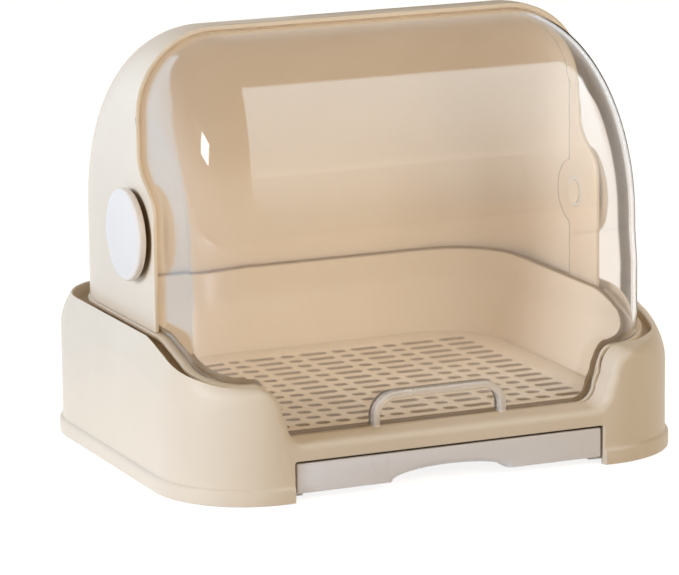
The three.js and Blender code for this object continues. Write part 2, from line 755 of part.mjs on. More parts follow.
// A dome about the pivot axis. Its side outline is upright up to the pivot, then an ellipse
// quarter to the top on each side; `front`, `back` and `top` are measured from the axis.
// The edges along its two flat sides are rounded, with their own radii at the front, top and back.
function dome({ half, front, back, top, frontCorner, topCorner, backCorner, bottom }) {
  const outline = [];
  const quarter = (reach, corner, sign, k) => {
    const angle = (Math.PI / 2) * (k / DOME_STEPS);
    const along = Math.cos(angle);
    const up = Math.sin(angle);
    const normal = new THREE.Vector2(along / reach, up / top).normalize();
    outline.push({
      y: PIVOT_Y + sign * reach * along,
      z: PIVOT_Z + top * up,
      ny: sign * normal.x,
      nz: normal.y,
      radius: corner + (topCorner - corner) * up * up,
    });
  };
  outline.push({ y: PIVOT_Y + back, z: bottom, ny: 1, nz: 0, radius: backCorner });
  for (let k = 0; k < DOME_STEPS; k++) quarter(back, backCorner, 1, k);
  for (let k = DOME_STEPS; k >= 0; k--) quarter(front, frontCorner, -1, k);
  outline.push({ y: PIVOT_Y - front, z: bottom, ny: -1, nz: 0, radius: frontCorner });

  const positions = [];
  const columns = [];
  for (const side of [-1, 1]) {
    for (let k = 0; k <= CORNER_STEPS; k++) {
      const turn = (side < 0 ? CORNER_STEPS - k : k) / CORNER_STEPS;
      columns.push({ side, angle: (Math.PI / 2) * turn });
    }
  }
  const count = outline.length;
  for (const { side, angle } of columns) {
    for (const { y, z, ny, nz, radius } of outline) {
      const drop = radius * (1 - Math.cos(angle));
      positions.push(side * (half - radius + radius * Math.sin(angle)), y - ny * drop, z - nz * drop);
    }
  }
  const index = [];
  for (let column = 0; column + 1 < columns.length; column++) {
    for (let k = 0; k < count; k++) {
      const a = column * count + k;
      const b = column * count + ((k + 1) % count);
      index.push(a, b + count, b, a, a + count, b + count);
    }
  }
  for (const [column, side] of [[0, -1], [columns.length - 1, 1]]) {
    const middle = positions.length / 3;
    positions.push(side * half, PIVOT_Y, PIVOT_Z);
    for (let k = 0; k < count; k++) {
      const a = column * count + k;
      const b = column * count + ((k + 1) % count);
      index.push(...(side < 0 ? [a, b, middle] : [b, a, middle]));
    }
  }
  const geometry = new THREE.BufferGeometry();
  geometry.setAttribute("position", new THREE.Float32BufferAttribute(positions, 3));
  geometry.setIndex(index);
  return outwards(geometry);
}

// Everything behind the front edge of the rear shell: the cheek's edge comes forward below the
// knob and steps back above it to the ridge.
function behindEdge() {
  const stepZ = PIVOT_Z + CHEEK_STEP_RISE;
  const topZ = PIVOT_Z + CHEEK_TOP_RISE;
  const middleZ = (stepZ + topZ) / 2;
  const step = new THREE.CubicBezierCurve(
    new THREE.Vector2(CHEEK_Y, stepZ),
    new THREE.Vector2(CHEEK_Y, middleZ),
    new THREE.Vector2(RIDGE_Y, middleZ),
    new THREE.Vector2(RIDGE_Y, topZ),
  );
  return prismX([
    [CHEEK_Y, 0],
    [DEPTH, 0],
    [DEPTH, HEIGHT + OVERRUN],
    [RIDGE_Y, HEIGHT + OVERRUN],
    ...step.getPoints(DOME_STEPS).reverse().map(({ x, y }) => [x, y]),
  ], -WIDTH, WIDTH);
}

function rearShell() {
  const corner = { frontCorner: SHELL_CORNER, topCorner: SHELL_CORNER, backCorner: SHELL_CORNER };
  const outside = dome({
    half: SHELL_HALF, front: SHELL_RADIUS, back: SHELL_RADIUS, top: SHELL_RADIUS, bottom: 0, ...corner,
  });
  const inner = SHELL_RADIUS - SHELL_WALL;
  const inside = dome({
    half: SHELL_HALF - SHELL_WALL, front: inner, back: inner, top: inner, bottom: -OVERRUN,
    frontCorner: SHELL_INNER_CORNER, topCorner: SHELL_INNER_CORNER, backCorner: SHELL_INNER_CORNER,
  });
  const coverFloor = underLine(FLANGE_DROP - SEAM);
  const bore = pivotBar(1, HUB_RADIUS + BUSH_WALL + 2 * SEAM, -WIDTH, WIDTH);
  return outside.subtract(inside).intersect(behindEdge()).subtract(coverFloor).subtract(bore);
}

function visor() {
  const topCorner = SHELL_CORNER - SHELL_WALL - VISOR_GAP;
  const outside = dome({
    half: VISOR_HALF, front: VISOR_REACH, back: VISOR_TOP_RADIUS, top: VISOR_TOP_RADIUS, bottom: 0,
    frontCorner: VISOR_FRONT_CORNER, topCorner, backCorner: topCorner,
  });
  const inside = dome({
    half: VISOR_HALF - VISOR_WALL,
    front: VISOR_REACH - VISOR_WALL,
    back: VISOR_TOP_RADIUS - VISOR_WALL,
    top: VISOR_TOP_RADIUS - VISOR_WALL,
    bottom: -OVERRUN,
    frontCorner: VISOR_FRONT_CORNER - VISOR_WALL,
    topCorner: topCorner - VISOR_WALL,
    backCorner: topCorner - VISOR_WALL,
  });
  const rearEdge = RIDGE_Y + VISOR_LAP;
  const kept = box(-WIDTH, WIDTH, -DEPTH, rearEdge, -OVERRUN, HEIGHT + OVERRUN)
    .add(barX(EAR_RADIUS, PIVOT_Y, PIVOT_Z, -WIDTH, WIDTH));
  const visorFloor = underLine(FLANGE_DROP - RUNNING);
  const shell = outside.subtract(inside).intersect(kept).subtract(visorFloor);
  return joined([shell, visorGrip(), visorStub(-1), visorStub(1)])
    .subtract(stubBore(-1))
    .subtract(stubBore(1));
}

// A length along X on one side of the rack, measured outwards from its middle.
function sideSpan(side, low, high) {
  return side > 0 ? [low, high] : [-high, -low];
}

// A round bar about the pivot axis on one side.
function pivotBar(side, radius, low, high, steps) {
  return barX(radius, PIVOT_Y, PIVOT_Z, ...sideSpan(side, low, high), steps);
}

// A bar like that with two driving flats.
function flattedBar(side, radius, flat, low, high) {
  const flats = box(
    ...sideSpan(side, low, high),
    PIVOT_Y - radius, PIVOT_Y + radius,
    PIVOT_Z - flat, PIVOT_Z + flat,
  );
  return pivotBar(side, radius, low, high).intersect(flats);
}

// The stub axle moulded on the visor's ear, with its driving flats outside the bush.
function visorStub(side) {
  const flatStart = BUSH_OUT_X + SEAM;
  return pivotBar(side, HUB_RADIUS, VISOR_HALF - VISOR_WALL / 2, flatStart)
    .add(flattedBar(side, HUB_RADIUS, HUB_FLAT, flatStart - SEAM, STUB_END_X));
}

function stubBore(side) {
  const end = CARRIER_OUT_X - PIVOT_SCREW_LENGTH;
  return pivotBar(side, PIVOT_SCREW_RADIUS + SEAM, end, STUB_END_X + OVERRUN, SMALL_ROUND_STEPS);
}

// The lifting grip: an arched band standing out from the visor's front.
function visorGrip() {
  const bottom = LEDGE_HEIGHT + GRIP_LIFT;
  const top = LEDGE_HEIGHT + GRIP_RISE;
  const arch = (inset) => [
    [-GRIP_HALF + inset, bottom],
    ...arc(-GRIP_HALF + GRIP_CORNER, top - GRIP_CORNER, GRIP_CORNER - inset, 180, 90),
    ...arc(GRIP_HALF - GRIP_CORNER, top - GRIP_CORNER, GRIP_CORNER - inset, 90, 0),
    [GRIP_HALF - inset, bottom],
  ];
  const outline = [...arch(0), ...arch(GRIP_BAND).reverse()];
  return prismY(outline, VISOR_FRONT_Y - GRIP_REACH, VISOR_FRONT_Y + VISOR_WALL / 2);
}

// One side's pivot pieces; `side` is -1 or 1.
function pivotPieces(side) {
  const quarter = CORNER_STEPS / 4;
  const disc = [
    [0, 0],
    ...arc(KNOB_RADIUS - KNOB_EDGE, KNOB_EDGE, KNOB_EDGE, -90, 0, quarter),
    ...arc(KNOB_RADIUS - KNOB_EDGE, KNOB_THICK - KNOB_EDGE, KNOB_EDGE, 0, 90, quarter),
    [0, KNOB_THICK],
  ];
  const turned = lathe(disc, ROUND_STEPS)
    .rotateY((side * Math.PI) / 2)
    .translate(side * KNOB_INSIDE_X, PIVOT_Y, PIVOT_Z);
  const pocketEnd = KNOB_INSIDE_X + KNOB_THICK - KNOB_FACE;
  const knob = solid(turned).subtract(pivotBar(side, CARRIER_RADIUS + SEAM, SHELL_HALF, pocketEnd));

  const carrier = pivotBar(side, CARRIER_RADIUS, KNOB_INSIDE_X, CARRIER_OUT_X)
    .subtract(flattedBar(side, HUB_RADIUS + SEAM, HUB_FLAT + SEAM, SHELL_HALF, WIDTH));

  const bush = pivotBar(side, HUB_RADIUS + SEAM + BUSH_WALL, SHELL_HALF - SHELL_WALL, BUSH_OUT_X)
    .add(pivotBar(side, HUB_RADIUS + BUSH_WALL + BUSH_FLANGE, SHELL_HALF + SEAM, BUSH_OUT_X))
    .subtract(pivotBar(side, HUB_RADIUS + SEAM, 0, WIDTH));

  const headLow = CARRIER_OUT_X + SEAM;
  const tip = headLow - PIVOT_SCREW_LENGTH;
  const screw = pivotBar(side, PIVOT_SCREW_HEAD_RADIUS, headLow, headLow + PIVOT_SCREW_HEAD)
    .add(pivotBar(side, PIVOT_SCREW_RADIUS, tip, headLow + SEAM, SMALL_ROUND_STEPS));
  return { knob, carrier, bush, screw };
}

const cream = { color: 0xe9dccb, roughness: 0.42, metalness: 0 };
const white = { color: 0xf1f1f2, roughness: 0.35, metalness: 0 };
const clear = { color: 0xe6e0d8, roughness: 0.05, metalness: 0, transparent: true, opacity: 0.3 };
const frosted = { color: 0xcdc6bf, roughness: 0.3, metalness: 0 };
const natural = { color: 0xe8e6e0, roughness: 0.4, metalness: 0 };
const rubber = { color: 0x5b5b5b, roughness: 0.9, metalness: 0 };
const steel = { color: 0xb9bcc0, roughness: 0.3, metalness: 1 };

function mesh(name, geometry, finish) {
  const part = new THREE.Mesh(geometry, new THREE.MeshStandardMaterial(finish));
  part.name = name;
  return part;
}

const padProfile = [[0, 0], [PAD_RADIUS, 0], [PAD_RADIUS, PAD_THICK], [0, PAD_THICK]];

const rack = new THREE.Group();
rack.add(mesh("base_shell", geometryOf(baseShell()), cream));
rack.add(mesh("inner_bin", geometryOf(innerBin()), cream));
rack.add(mesh("drain_grille", geometryOf(drainGrille()), cream));
rack.add(mesh("drip_drawer", geometryOf(dripDrawer()), frosted));
rack.add(mesh("rear_shell", geometryOf(rearShell()), cream));
rack.add(mesh("visor", geometryOf(visor()), clear));

for (const [word, side] of [["left", -1], ["right", 1]]) {
  const { knob, carrier, bush, screw } = pivotPieces(side);
  rack.add(mesh(`pivot_knob_${word}`, geometryOf(knob), white));
  rack.add(mesh(`pivot_bush_${word}`, geometryOf(bush), natural));
  rack.add(mesh(`pivot_carrier_${word}`, geometryOf(carrier), natural));
  rack.add(mesh(`pivot_screw_${word}`, geometryOf(screw), steel));
  rack.add(mesh(`drawer_rail_${word}`, geometryOf(drawerRail(side)), natural));

  for (const [place, end] of [["front", -1], ["back", 1]]) {
    const pad = mesh(`foot_pad_${place}_${word}`, lathe(padProfile, ROUND_STEPS), rubber);
    pad.position.set(side * PAD_X, end * PAD_Y, 0);
    rack.add(pad);

    const binShank = uprightScrew(TAB_TOP - TAB_THICK - SEAM - SCREW_HEAD, TAB_THICK + SCREW_BITE);
    const binScrew = mesh(`bin_screw_${place}_${word}`, binShank, steel);
    binScrew.position.set(side * BOSS_X, end * BOSS_Y, 0);
    rack.add(binScrew);

    const railShank = uprightScrew(RAIL_TOP - RAIL_WALL - SEAM - SCREW_HEAD, RAIL_WALL + RAIL_BOSS_DROP);
    const railScrew = mesh(`rail_screw_${place}_${word}`, railShank, steel);
    railScrew.position.set(side * RAIL_SCREW_X, end * RAIL_SCREW_Y, 0);
    rack.add(railScrew);
  }
}

export default rack;
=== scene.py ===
import math

import bmesh
import bpy
import numpy as np
from mathutils import Matrix, Vector


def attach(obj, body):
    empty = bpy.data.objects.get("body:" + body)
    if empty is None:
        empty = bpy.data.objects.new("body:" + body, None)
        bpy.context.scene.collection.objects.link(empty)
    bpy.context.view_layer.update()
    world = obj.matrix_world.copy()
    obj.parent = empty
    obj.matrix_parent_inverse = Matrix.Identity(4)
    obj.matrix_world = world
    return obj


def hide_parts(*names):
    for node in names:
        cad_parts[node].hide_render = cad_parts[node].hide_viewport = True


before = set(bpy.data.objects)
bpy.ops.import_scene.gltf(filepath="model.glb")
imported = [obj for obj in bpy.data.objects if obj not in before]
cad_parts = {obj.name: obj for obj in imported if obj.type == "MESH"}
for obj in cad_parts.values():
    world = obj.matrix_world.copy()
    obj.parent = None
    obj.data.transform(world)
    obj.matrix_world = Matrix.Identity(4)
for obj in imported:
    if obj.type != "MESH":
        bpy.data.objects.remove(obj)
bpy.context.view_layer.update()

# Shapes are worked out in millimetres and become metres where a mesh is made
mm = 0.001
scene = bpy.context.scene
corners = [(side, end) for side in (-1, 1) for end in (-1, 1)]


# Mesh helpers
def linkPiece(name, mesh):
    piece = bpy.data.objects.new(name, mesh)
    scene.collection.objects.link(piece)
    return piece


def makePiece(name, points, faces):
    mesh = bpy.data.meshes.new(name)
    mesh.from_pydata([[float(c) * mm for c in p] for p in points], [], faces)
    return linkPiece(name, mesh)


def gridPiece(name, grid, closeRows=False, closeColumns=False, capRows=False):
    rows, columns = len(grid), len(grid[0])
    faces = []
    for r in range(rows if closeRows else rows - 1):
        for c in range(columns if closeColumns else columns - 1):
            r1, c1 = (r + 1) % rows, (c + 1) % columns
            faces.append((r * columns + c, r1 * columns + c, r1 * columns + c1, r * columns + c1))
    if capRows:
        faces += [tuple(range(columns)), tuple(range((rows - 1) * columns, rows * columns))]
    return makePiece(name, [p for row in grid for p in row], faces)


def settle(piece):
    bpy.context.view_layer.update()
    graph = bpy.context.evaluated_depsgraph_get()
    mesh = bpy.data.meshes.new_from_object(piece.evaluated_get(graph))
    piece.modifiers.clear()
    piece.data = mesh
    return piece


def modify(piece, kind, **settings):
    modifier = piece.modifiers.new("work", kind)
    for key, value in settings.items():
        setattr(modifier, key, value)
    return settle(piece)


def combine(piece, tool, operation):
    modify(piece, "BOOLEAN", operation=operation, solver="EXACT", object=tool)
    bpy.data.objects.remove(tool)
    return piece


def roundEdges(piece, width, segments=2, sharpest=50):
    return modify(
        piece, "BEVEL", width=width * mm, segments=segments, limit_method="ANGLE",
        angle_limit=math.radians(sharpest), use_clamp_overlap=False,
    )


def tidyMesh(piece, distance=0.002, closed=True):
    work = bmesh.new()
    work.from_mesh(piece.data)
    bmesh.ops.remove_doubles(work, verts=work.verts, dist=distance * mm)
    if closed:
        bmesh.ops.dissolve_degenerate(work, edges=work.edges, dist=distance * mm)
        bmesh.ops.recalc_face_normals(work, faces=work.faces)
    work.to_mesh(piece.data)
    work.free()
    return piece


# Faces that meet at more than this stay sharp: 30 degrees, or 35 on pieces with coarser roundings
coarse = 35


def smoothShade(piece, angle=30):
    piece.data.shade_smooth()
    piece.data.set_sharp_from_angle(angle=math.radians(angle))
    return piece


def setValues(piece, key, values, kind="FLOAT", domain="POINT"):
    piece.data.attributes.new(key, kind, domain).data.foreach_set("value", values)
    return piece


def meshFrom(name, work):
    mesh = bpy.data.meshes.new(name)
    work.to_mesh(mesh)
    work.free()
    return linkPiece(name, mesh)


def roundedBox(name, x, y, z, radius):
    work = bmesh.new()
    bmesh.ops.create_cube(work, size=1)
    for v in work.verts:
        v.co = Vector([(low if c < 0 else high) * mm for c, (low, high) in zip(v.co, (x, y, z))])
    bmesh.ops.bevel(work, geom=work.edges[:], offset=radius * mm, segments=3, profile=0.5, affect="EDGES")
    return meshFrom(name, work)


def joinMeshes(name, pieces):
    work = bmesh.new()
    for piece in pieces:
        work.from_mesh(piece.data)
    for piece in pieces:
        bpy.data.objects.remove(piece)
    return meshFrom(name, work)


# A turned shape: the profile holds (along the axis, radius), and `place` says where the axis lies
def turned(name, profile, steps, place):
    grid = []
    for k in range(steps):
        turn = 2 * math.pi * k / steps
        grid.append([place(along, r * math.cos(turn), r * math.sin(turn)) for along, r in profile])
    return tidyMesh(gridPiece(name, grid, closeRows=True))


def arcPoints(u, v, radius, start, stop, steps):
    turns = [math.radians(start + (stop - start) * k / steps) for k in range(steps + 1)]
    return [(u + radius * math.cos(a), v + radius * math.sin(a)) for a in turns]


def between(a, b, steps):
    return [a + (b - a) * k / steps for k in range(steps + 1)]


def mix(a, b, share):
    return a + (b - a) * share


def limited(value, low=0, high=1):
    return min(max(value, low), high)


def smoothStep(value, low, high):
    t = limited((value - low) / (high - low))
    return t * t * (3 - 2 * t)


def curvePoint(ends, t):
    weights = ((1 - t) ** 3, 3 * t * (1 - t) ** 2, 3 * t * t * (1 - t), t ** 3)
    return tuple(sum(w * p[axis] for w, p in zip(weights, ends)) for axis in (0, 1))


# The direction of a line of points at each of them
def directions(line):
    ways = []
    for before, after in zip(line[:1] + line[:-1], line[1:] + line[-1:]):
        along, up = after[0] - before[0], after[1] - before[1]
        size = math.hypot(along, up)
        ways.append((along / size, up / size))
    return ways


# The last value, between low and high, for which the test still holds
def search(low, high, holds, steps=30):
    for _ in range(steps):
        middle = (low + high) / 2
        if holds(middle):
            low = middle
        else:
            high = middle
    return low


def quarterOf(steps):
    return [(math.sin(a), math.cos(a)) for a in (math.radians(d) for d in between(0, 90, steps))]


quarterTurn = quarterOf(4)


# The base's wall, and lengths along it from the middle of the front to the middle of the back
wall = {
    "half": 155.5, "front": -125.5, "back": 125.5, "corner": 54.0, "thick": 3.0,
    "leastCorner": 0.1, "searchSteps": 24,
}
cornerStart = wall["half"] - wall["corner"]
cornerLength = wall["corner"] * math.pi / 2
sideStart = cornerStart + cornerLength
sideLength = wall["back"] - wall["front"] - 2 * wall["corner"]
backCornerStart = sideStart + sideLength
backStart = backCornerStart + cornerLength
halfLength = backStart + cornerStart


def wallPoint(length, inset):
    reach = wall["corner"] - inset
    if length <= cornerStart:
        return length, wall["front"] + inset
    if length < sideStart:
        turn = (length - cornerStart) / wall["corner"]
        return cornerStart + reach * math.sin(turn), wall["front"] + wall["corner"] - reach * math.cos(turn)
    if length <= backCornerStart:
        return wall["half"] - inset, wall["front"] + wall["corner"] + length - sideStart
    if length < backStart:
        turn = (length - backCornerStart) / wall["corner"]
        return cornerStart + reach * math.cos(turn), wall["back"] - wall["corner"] + reach * math.sin(turn)
    return halfLength - length, wall["back"] - inset


def wallLength(x, y):
    x = abs(x)
    centreY = wall["back"] - wall["corner"]
    if x <= cornerStart:
        return x if y < 0 else halfLength - x
    if y < -centreY:
        return cornerStart + wall["corner"] * math.atan2(x - cornerStart, -centreY - y)
    if y <= centreY:
        return sideStart + y + centreY
    return backCornerStart + wall["corner"] * math.atan2(y - centreY, x - cornerStart)


# The rim line: a low ledge in front, a shoulder at each corner, high along the sides and back
rim = {
    "high": 83.3, "shoulder": 65.3, "ledge": 33.5,
    "stepX": 99.5, "stepLean": 1.5, "stepTop": 15.0, "stepFoot": 10.0,
    "climbFoot": 16.5, "climbTop": 33.0, "climbFootPull": 47.0, "climbTopPull": 14.0,
    "blendFoot": 10.0, "blendTop": 64.0,
    "width": 7.3, "rearWidth": 8.5, "ledgeWidth": 17.0, "trough": 9.0, "groove": 4.8,
    "ledgeSteps": 8, "arcSteps": 14, "climbSteps": 44, "sideSteps": 6, "cornerSteps": 28, "backSteps": 6,
}


def rimLine():
    footX = rim["stepX"] - rim["stepLean"] - rim["stepFoot"]
    topX = rim["stepX"] + rim["stepLean"] + rim["stepTop"]
    line = [(length, rim["ledge"]) for length in between(0, footX, rim["ledgeSteps"])[:-1]]
    line += arcPoints(footX, rim["ledge"] + rim["stepFoot"], rim["stepFoot"], 270, 360, rim["arcSteps"])
    line += arcPoints(topX, rim["shoulder"] - rim["stepTop"], rim["stepTop"], 180, 90, rim["arcSteps"])
    foot, top = cornerStart + rim["climbFoot"], sideStart + rim["climbTop"]
    ends = [
        (foot, rim["shoulder"]), (foot + rim["climbFootPull"], rim["shoulder"]),
        (top - rim["climbTopPull"], rim["high"]), (top, rim["high"]),
    ]
    line += [curvePoint(ends, t) for t in between(0, 1, rim["climbSteps"])]
    flat = between(top, backCornerStart, rim["sideSteps"])[1:-1]
    flat += between(backCornerStart, backStart, rim["cornerSteps"])[:-1]
    flat += between(backStart, halfLength, rim["backSteps"])
    return line + [(length, rim["high"]) for length in flat]


def makeStations():
    line = rimLine()
    return [{
        "length": length, "height": height, "along": along, "up": up,
        "sideShare": smoothStep(length, cornerStart + rim["blendFoot"], cornerStart + rim["blendTop"]),
        "backShare": smoothStep(length, backCornerStart, backStart),
    } for (length, height), (along, up) in zip(line, directions(line))]


stations = makeStations()


def upright(station, inset, z):
    return *wallPoint(station["length"], inset), z


def belowRim(station, inset, drop):
    x, y = wallPoint(max(station["length"] + station["up"] * drop, 0), inset)
    return x, y, station["height"] - station["along"] * drop


def allRound(section):
    right = [section(station) for station in stations]
    left = [[(-x, y, z) for x, y, z in points] for points in reversed(right[1:-1])]
    return right + left


def rimHeightAt(x, y, drop):
    lengths = [s["length"] + s["up"] * drop for s in stations]
    heights = [s["height"] - s["along"] * drop for s in stations]
    return float(np.interp(wallLength(x, y), lengths, heights))


# Inner bin: its outline narrows downwards, and the cover stands on its flange. `flange` and what
# binShape gives are outlines: half width, front, back, and the radius of the front and back corners
binSize = {
    "half": 134.2, "front": -100.0, "back": 107.5, "frontCorner": 34.0, "backCorner": 44.0,
    "taper": 15.2, "frontTaper": 2.0, "backTaper": 11.0, "underside": 25.0, "floorTop": 28.0,
    "taperTop": 65.3, "wall": 2.0, "floorFillet": 4.0, "undersideRound": 1.5,
    "wallRows": 10, "lastRows": (0.1, 1), "floorRows": 5, "outerRows": 5,
    "beadRise": 1.2, "beadRound": 0.9, "beadTurn": (20, 160), "beadSteps": 6,
    "shadeDrop": 1.3, "shadeFront": -90.0,
    "flange": (141.5, -104.0, 111.5, 28.3, 49.0), "flangeDrop": 1.2, "flangeThick": 2.5, "flangeEdge": 0.5,
    "outlet": 9.0, "outletWall": 2.0, "outletDrop": 2.6, "outletEdge": 0.8,
    "bosses": [(112.6, 72.0, 5.0, 12.3), (100.35, 66.0, 4.5, 21.0)], "bossBore": 1.8, "bossEdge": 0.4,
    "bossSteps": 20, "bossRoot": 1.0,
}
# Where the middle point of a small rounding lies, as a share of its size
cutShare = 0.3


def binShape(z, inward):
    down = 1 - limited((z - binSize["underside"]) / (binSize["taperTop"] - binSize["underside"]))
    return (
        binSize["half"] - inward - binSize["taper"] * down,
        binSize["front"] + inward + binSize["frontTaper"] * down,
        binSize["back"] - inward - binSize["backTaper"] * down,
        binSize["frontCorner"] - inward,
        binSize["backCorner"] - inward,
    )


def outlineGap(x, y, shape):
    half, front, back, frontCorner, backCorner = shape
    radius = frontCorner if y < 0 else backCorner
    dx = abs(x) - (half - radius)
    dy = front + radius - y if y < 0 else y - (back - radius)
    return (math.hypot(dx, dy) if dx > 0 and dy > 0 else max(dx, dy)) - radius


# How far inside the wall an outline runs, at a length along the wall
def insetTo(length, shape):
    def outside(inset):
        return outlineGap(*wallPoint(length, inset), shape) > 0

    return search(0.0, wall["corner"] - wall["leastCorner"], outside, wall["searchSteps"])


def binSection(station):
    size = binSize
    floorTop, fillet, thick, underside = (size[k] for k in ("floorTop", "floorFillet", "wall", "underside"))

    def onWall(z, inward, shift=0.0):
        length = max(station["length"] + shift, 0)
        return *wallPoint(length, insetTo(length, binShape(z, inward))), z

    curve = [onWall(floorTop + fillet * (1 - c), thick + fillet * (1 - s)) for s, c in quarterTurn]
    footX, footY, _ = curve[0]
    direction = math.atan2(footY, footX)

    def outward(reach, z):
        return reach * math.cos(direction), reach * math.sin(direction), z

    hole, spout, edge = size["outlet"], size["outlet"] + size["outletWall"], size["outletEdge"]
    spoutLow = underside - size["outletDrop"]
    points = [outward(hole, spoutLow), outward(hole, floorTop - edge)]
    startX, startY, _ = outward(hole + edge, floorTop)
    for t in between(0, 1, size["floorRows"])[:-1]:
        points.append((mix(startX, footX, t), mix(startY, footY, t), floorTop))
    points += curve

    beadTop = -size["beadRise"]
    topZ = station["height"] - station["along"] * (beadTop + size["beadRound"])
    shift = station["up"] * beadTop
    low, nearTop = floorTop + fillet, topZ - size["shadeDrop"]
    points += [onWall(mix(low, nearTop, t), thick, shift * t) for t in between(0, 1, size["wallRows"])[1:]]
    points += [onWall(mix(nearTop, topZ, t), thick, shift) for t in size["lastRows"]]
    rimLength = max(station["length"] + shift, 0)
    inner, outer = (insetTo(rimLength, binShape(topZ, inward)) for inward in (thick, 0))
    for degrees in between(*size["beadTurn"], size["beadSteps"]):
        turn = math.radians(degrees)
        fall = beadTop + size["beadRound"] * (1 - math.sin(turn))
        points.append(belowRim(station, (inner + outer) / 2 + (inner - outer) / 2 * math.cos(turn), fall))

    rimInset, over, cut = insetTo(station["length"], size["flange"]), size["flangeDrop"], size["flangeEdge"]
    under, part = over + size["flangeThick"], cut * cutShare
    points += [belowRim(station, inset, fall) for inset, fall in [
        (outer, over), (rimInset + cut, over), (rimInset + part, over + part), (rimInset, over + cut),
        (rimInset, under - cut), (rimInset + part, under - part), (rimInset + cut, under), (outer, under),
    ]]
    outerTop, rounded = station["height"] - station["along"] * under, size["undersideRound"]
    for t in between(0, 1, size["outerRows"])[1:]:
        points.append(onWall(mix(outerTop, underside + rounded, t), 0, station["up"] * under * (1 - t)))
    points += [onWall(underside + rounded * cutShare, rounded * cutShare), onWall(underside, rounded)]
    return points + [outward(spout, underside), outward(spout, spoutLow)]


def aboutSpot(x, y):
    return lambda z, u, v: (x + u, y + v, z)


def makeBin():
    grid = allRound(binSection)
    bowl = gridPiece("innerBin", grid, closeRows=True, closeColumns=True)
    # The bead is marked for painted shade, a dark line along the gap under the cover, from the top of the
    # inner wall to the flange, all round but in front
    first = 2 + binSize["floorRows"] + len(quarterTurn) + binSize["wallRows"] + 1
    marked = range(first, first + binSize["beadSteps"] + 3)
    shades = []
    for row in grid:
        depth = 1.0 if row[0][1] > binSize["shadeFront"] else 0.0
        shades += [depth if c in marked else 0.0 for c in range(len(row))]
    pieces = [tidyMesh(setValues(bowl, "shade", shades))]
    bore, edge, top = binSize["bossBore"], binSize["bossEdge"], binSize["underside"] + binSize["bossRoot"]
    for x, y, radius, low in binSize["bosses"]:
        outside = [(low, radius - edge), (low + edge, radius), (top, radius)]
        profile = [(low, bore), *outside, (top, bore), (low, bore)]
        for side, end in corners:
            pieces.append(turned("boss", profile, binSize["bossSteps"], aboutSpot(side * x, end * y)))
    return smoothShade(joinMeshes("innerBin", pieces), coarse)


# Base shell: `flare` is the foot's outline, as insets from the foot's edge and rises from its top
base = {
    "foot": 2.0, "footHeight": 10.0, "lift": 0.5, "footRound": 0.8,
    "flare": [(0, -2.4), (0.12, -1.5), (0.55, -0.7), (1.2, -0.25), (1.75, 0.05), (2, 0.5), (2, 3)],
    "frontRound": 5.0, "sideRound": 6.5, "sideRoundDrop": 18.0, "bulge": 0.3, "roundSteps": 12,
    "lip": 0.7, "deck": 2.5, "deckReach": 34.0, "fillet": 1.2, "seam": 0.3,
    "openingHalf": 95.0, "openingTop": 23.3, "openingRound": 0.8, "openingCorner": 1.5,
    "openingReach": 3.0, "openingFace": 0.05, "openingSteps": 5,
    "tab": ((101.6, 153.0), (60.0, 84.0), (9.0, 12.0)), "tabRound": 0.4,
    "web": (113.0, 81.0, 3.3, 5.8), "webSteps": 14,
}
# Where a cutter has to start to pass right through from below
farBelow = -5


def rimRounding(station):
    points = []
    for t in between(0, 1, base["roundSteps"]):
        turn = t * math.pi / 2
        frontInset, frontDrop = (base["frontRound"] * (1 - wave(turn)) for wave in (math.cos, math.sin))
        sideInset = 2 * t * (1 - t) * base["bulge"] + t * t * base["sideRound"]
        sideDrop = (1 - t) * base["sideRoundDrop"]
        share = station["sideShare"]
        points.append((mix(frontInset, sideInset, share), mix(frontDrop, sideDrop, share)))
    return points


def baseSection(station):
    edge = mix(rim["ledgeWidth"], rim["width"], station["sideShare"])
    edge = mix(edge, rim["rearWidth"], station["backShare"])
    drop = mix(rim["groove"], rim["trough"], station["sideShare"])
    deckInset = min(base["deckReach"], insetTo(station["length"], binShape(wall["half"], -base["seam"])))
    foot, lift, small, top = -base["foot"], base["lift"], base["footRound"], base["footHeight"]
    part = cutShare * small
    outside = [(foot + small, lift), (foot + part, lift + part), (foot, lift + small)]
    outside += [(foot + inset, top + rise) for inset, rise in base["flare"]]
    points = [upright(station, inset, z) for inset, z in outside]
    lip, fillet, under = base["lip"], base["fillet"], drop + base["deck"]
    inside = rimRounding(station) + [(edge - lip * (1 - s), lip * (1 - c)) for s, c in quarterTurn]
    inside += [(edge + fillet * (1 - c), drop - fillet * (1 - s)) for s, c in quarterTurn]
    inside += [(deckInset, drop), (deckInset, under), (wall["thick"], under)]
    points += [belowRim(station, inset, fall) for inset, fall in inside]
    return points + [upright(station, wall["thick"], lift)]


# The cutter for the drawer opening flares at the wall's face, so the opening gets a round edge
def openingCutter():
    half, top, edge, corner = (base["opening" + key] for key in ("Half", "Top", "Round", "Corner"))
    front, reach, steps = wall["front"], base["openingReach"], base["openingSteps"]
    levels = [(front - base["foot"] - reach, edge), (front - base["openingFace"], edge)]
    levels += [(front + edge * (1 - c), edge * (1 - s)) for s, c in quarterTurn]
    levels.append((front + wall["thick"] + reach, 0))
    grid = []
    for y, grow in levels:
        outline = [(-half - grow, farBelow), (half + grow, farBelow)]
        outline += arcPoints(half + grow - corner, top + grow - corner, corner, 0, 90, steps)
        outline += arcPoints(-half - grow + corner, top + grow - corner, corner, 90, 180, steps)
        grid.append([(x, y, z) for x, z in outline])
    return tidyMesh(gridPiece("opening", grid, closeColumns=True, capRows=True))


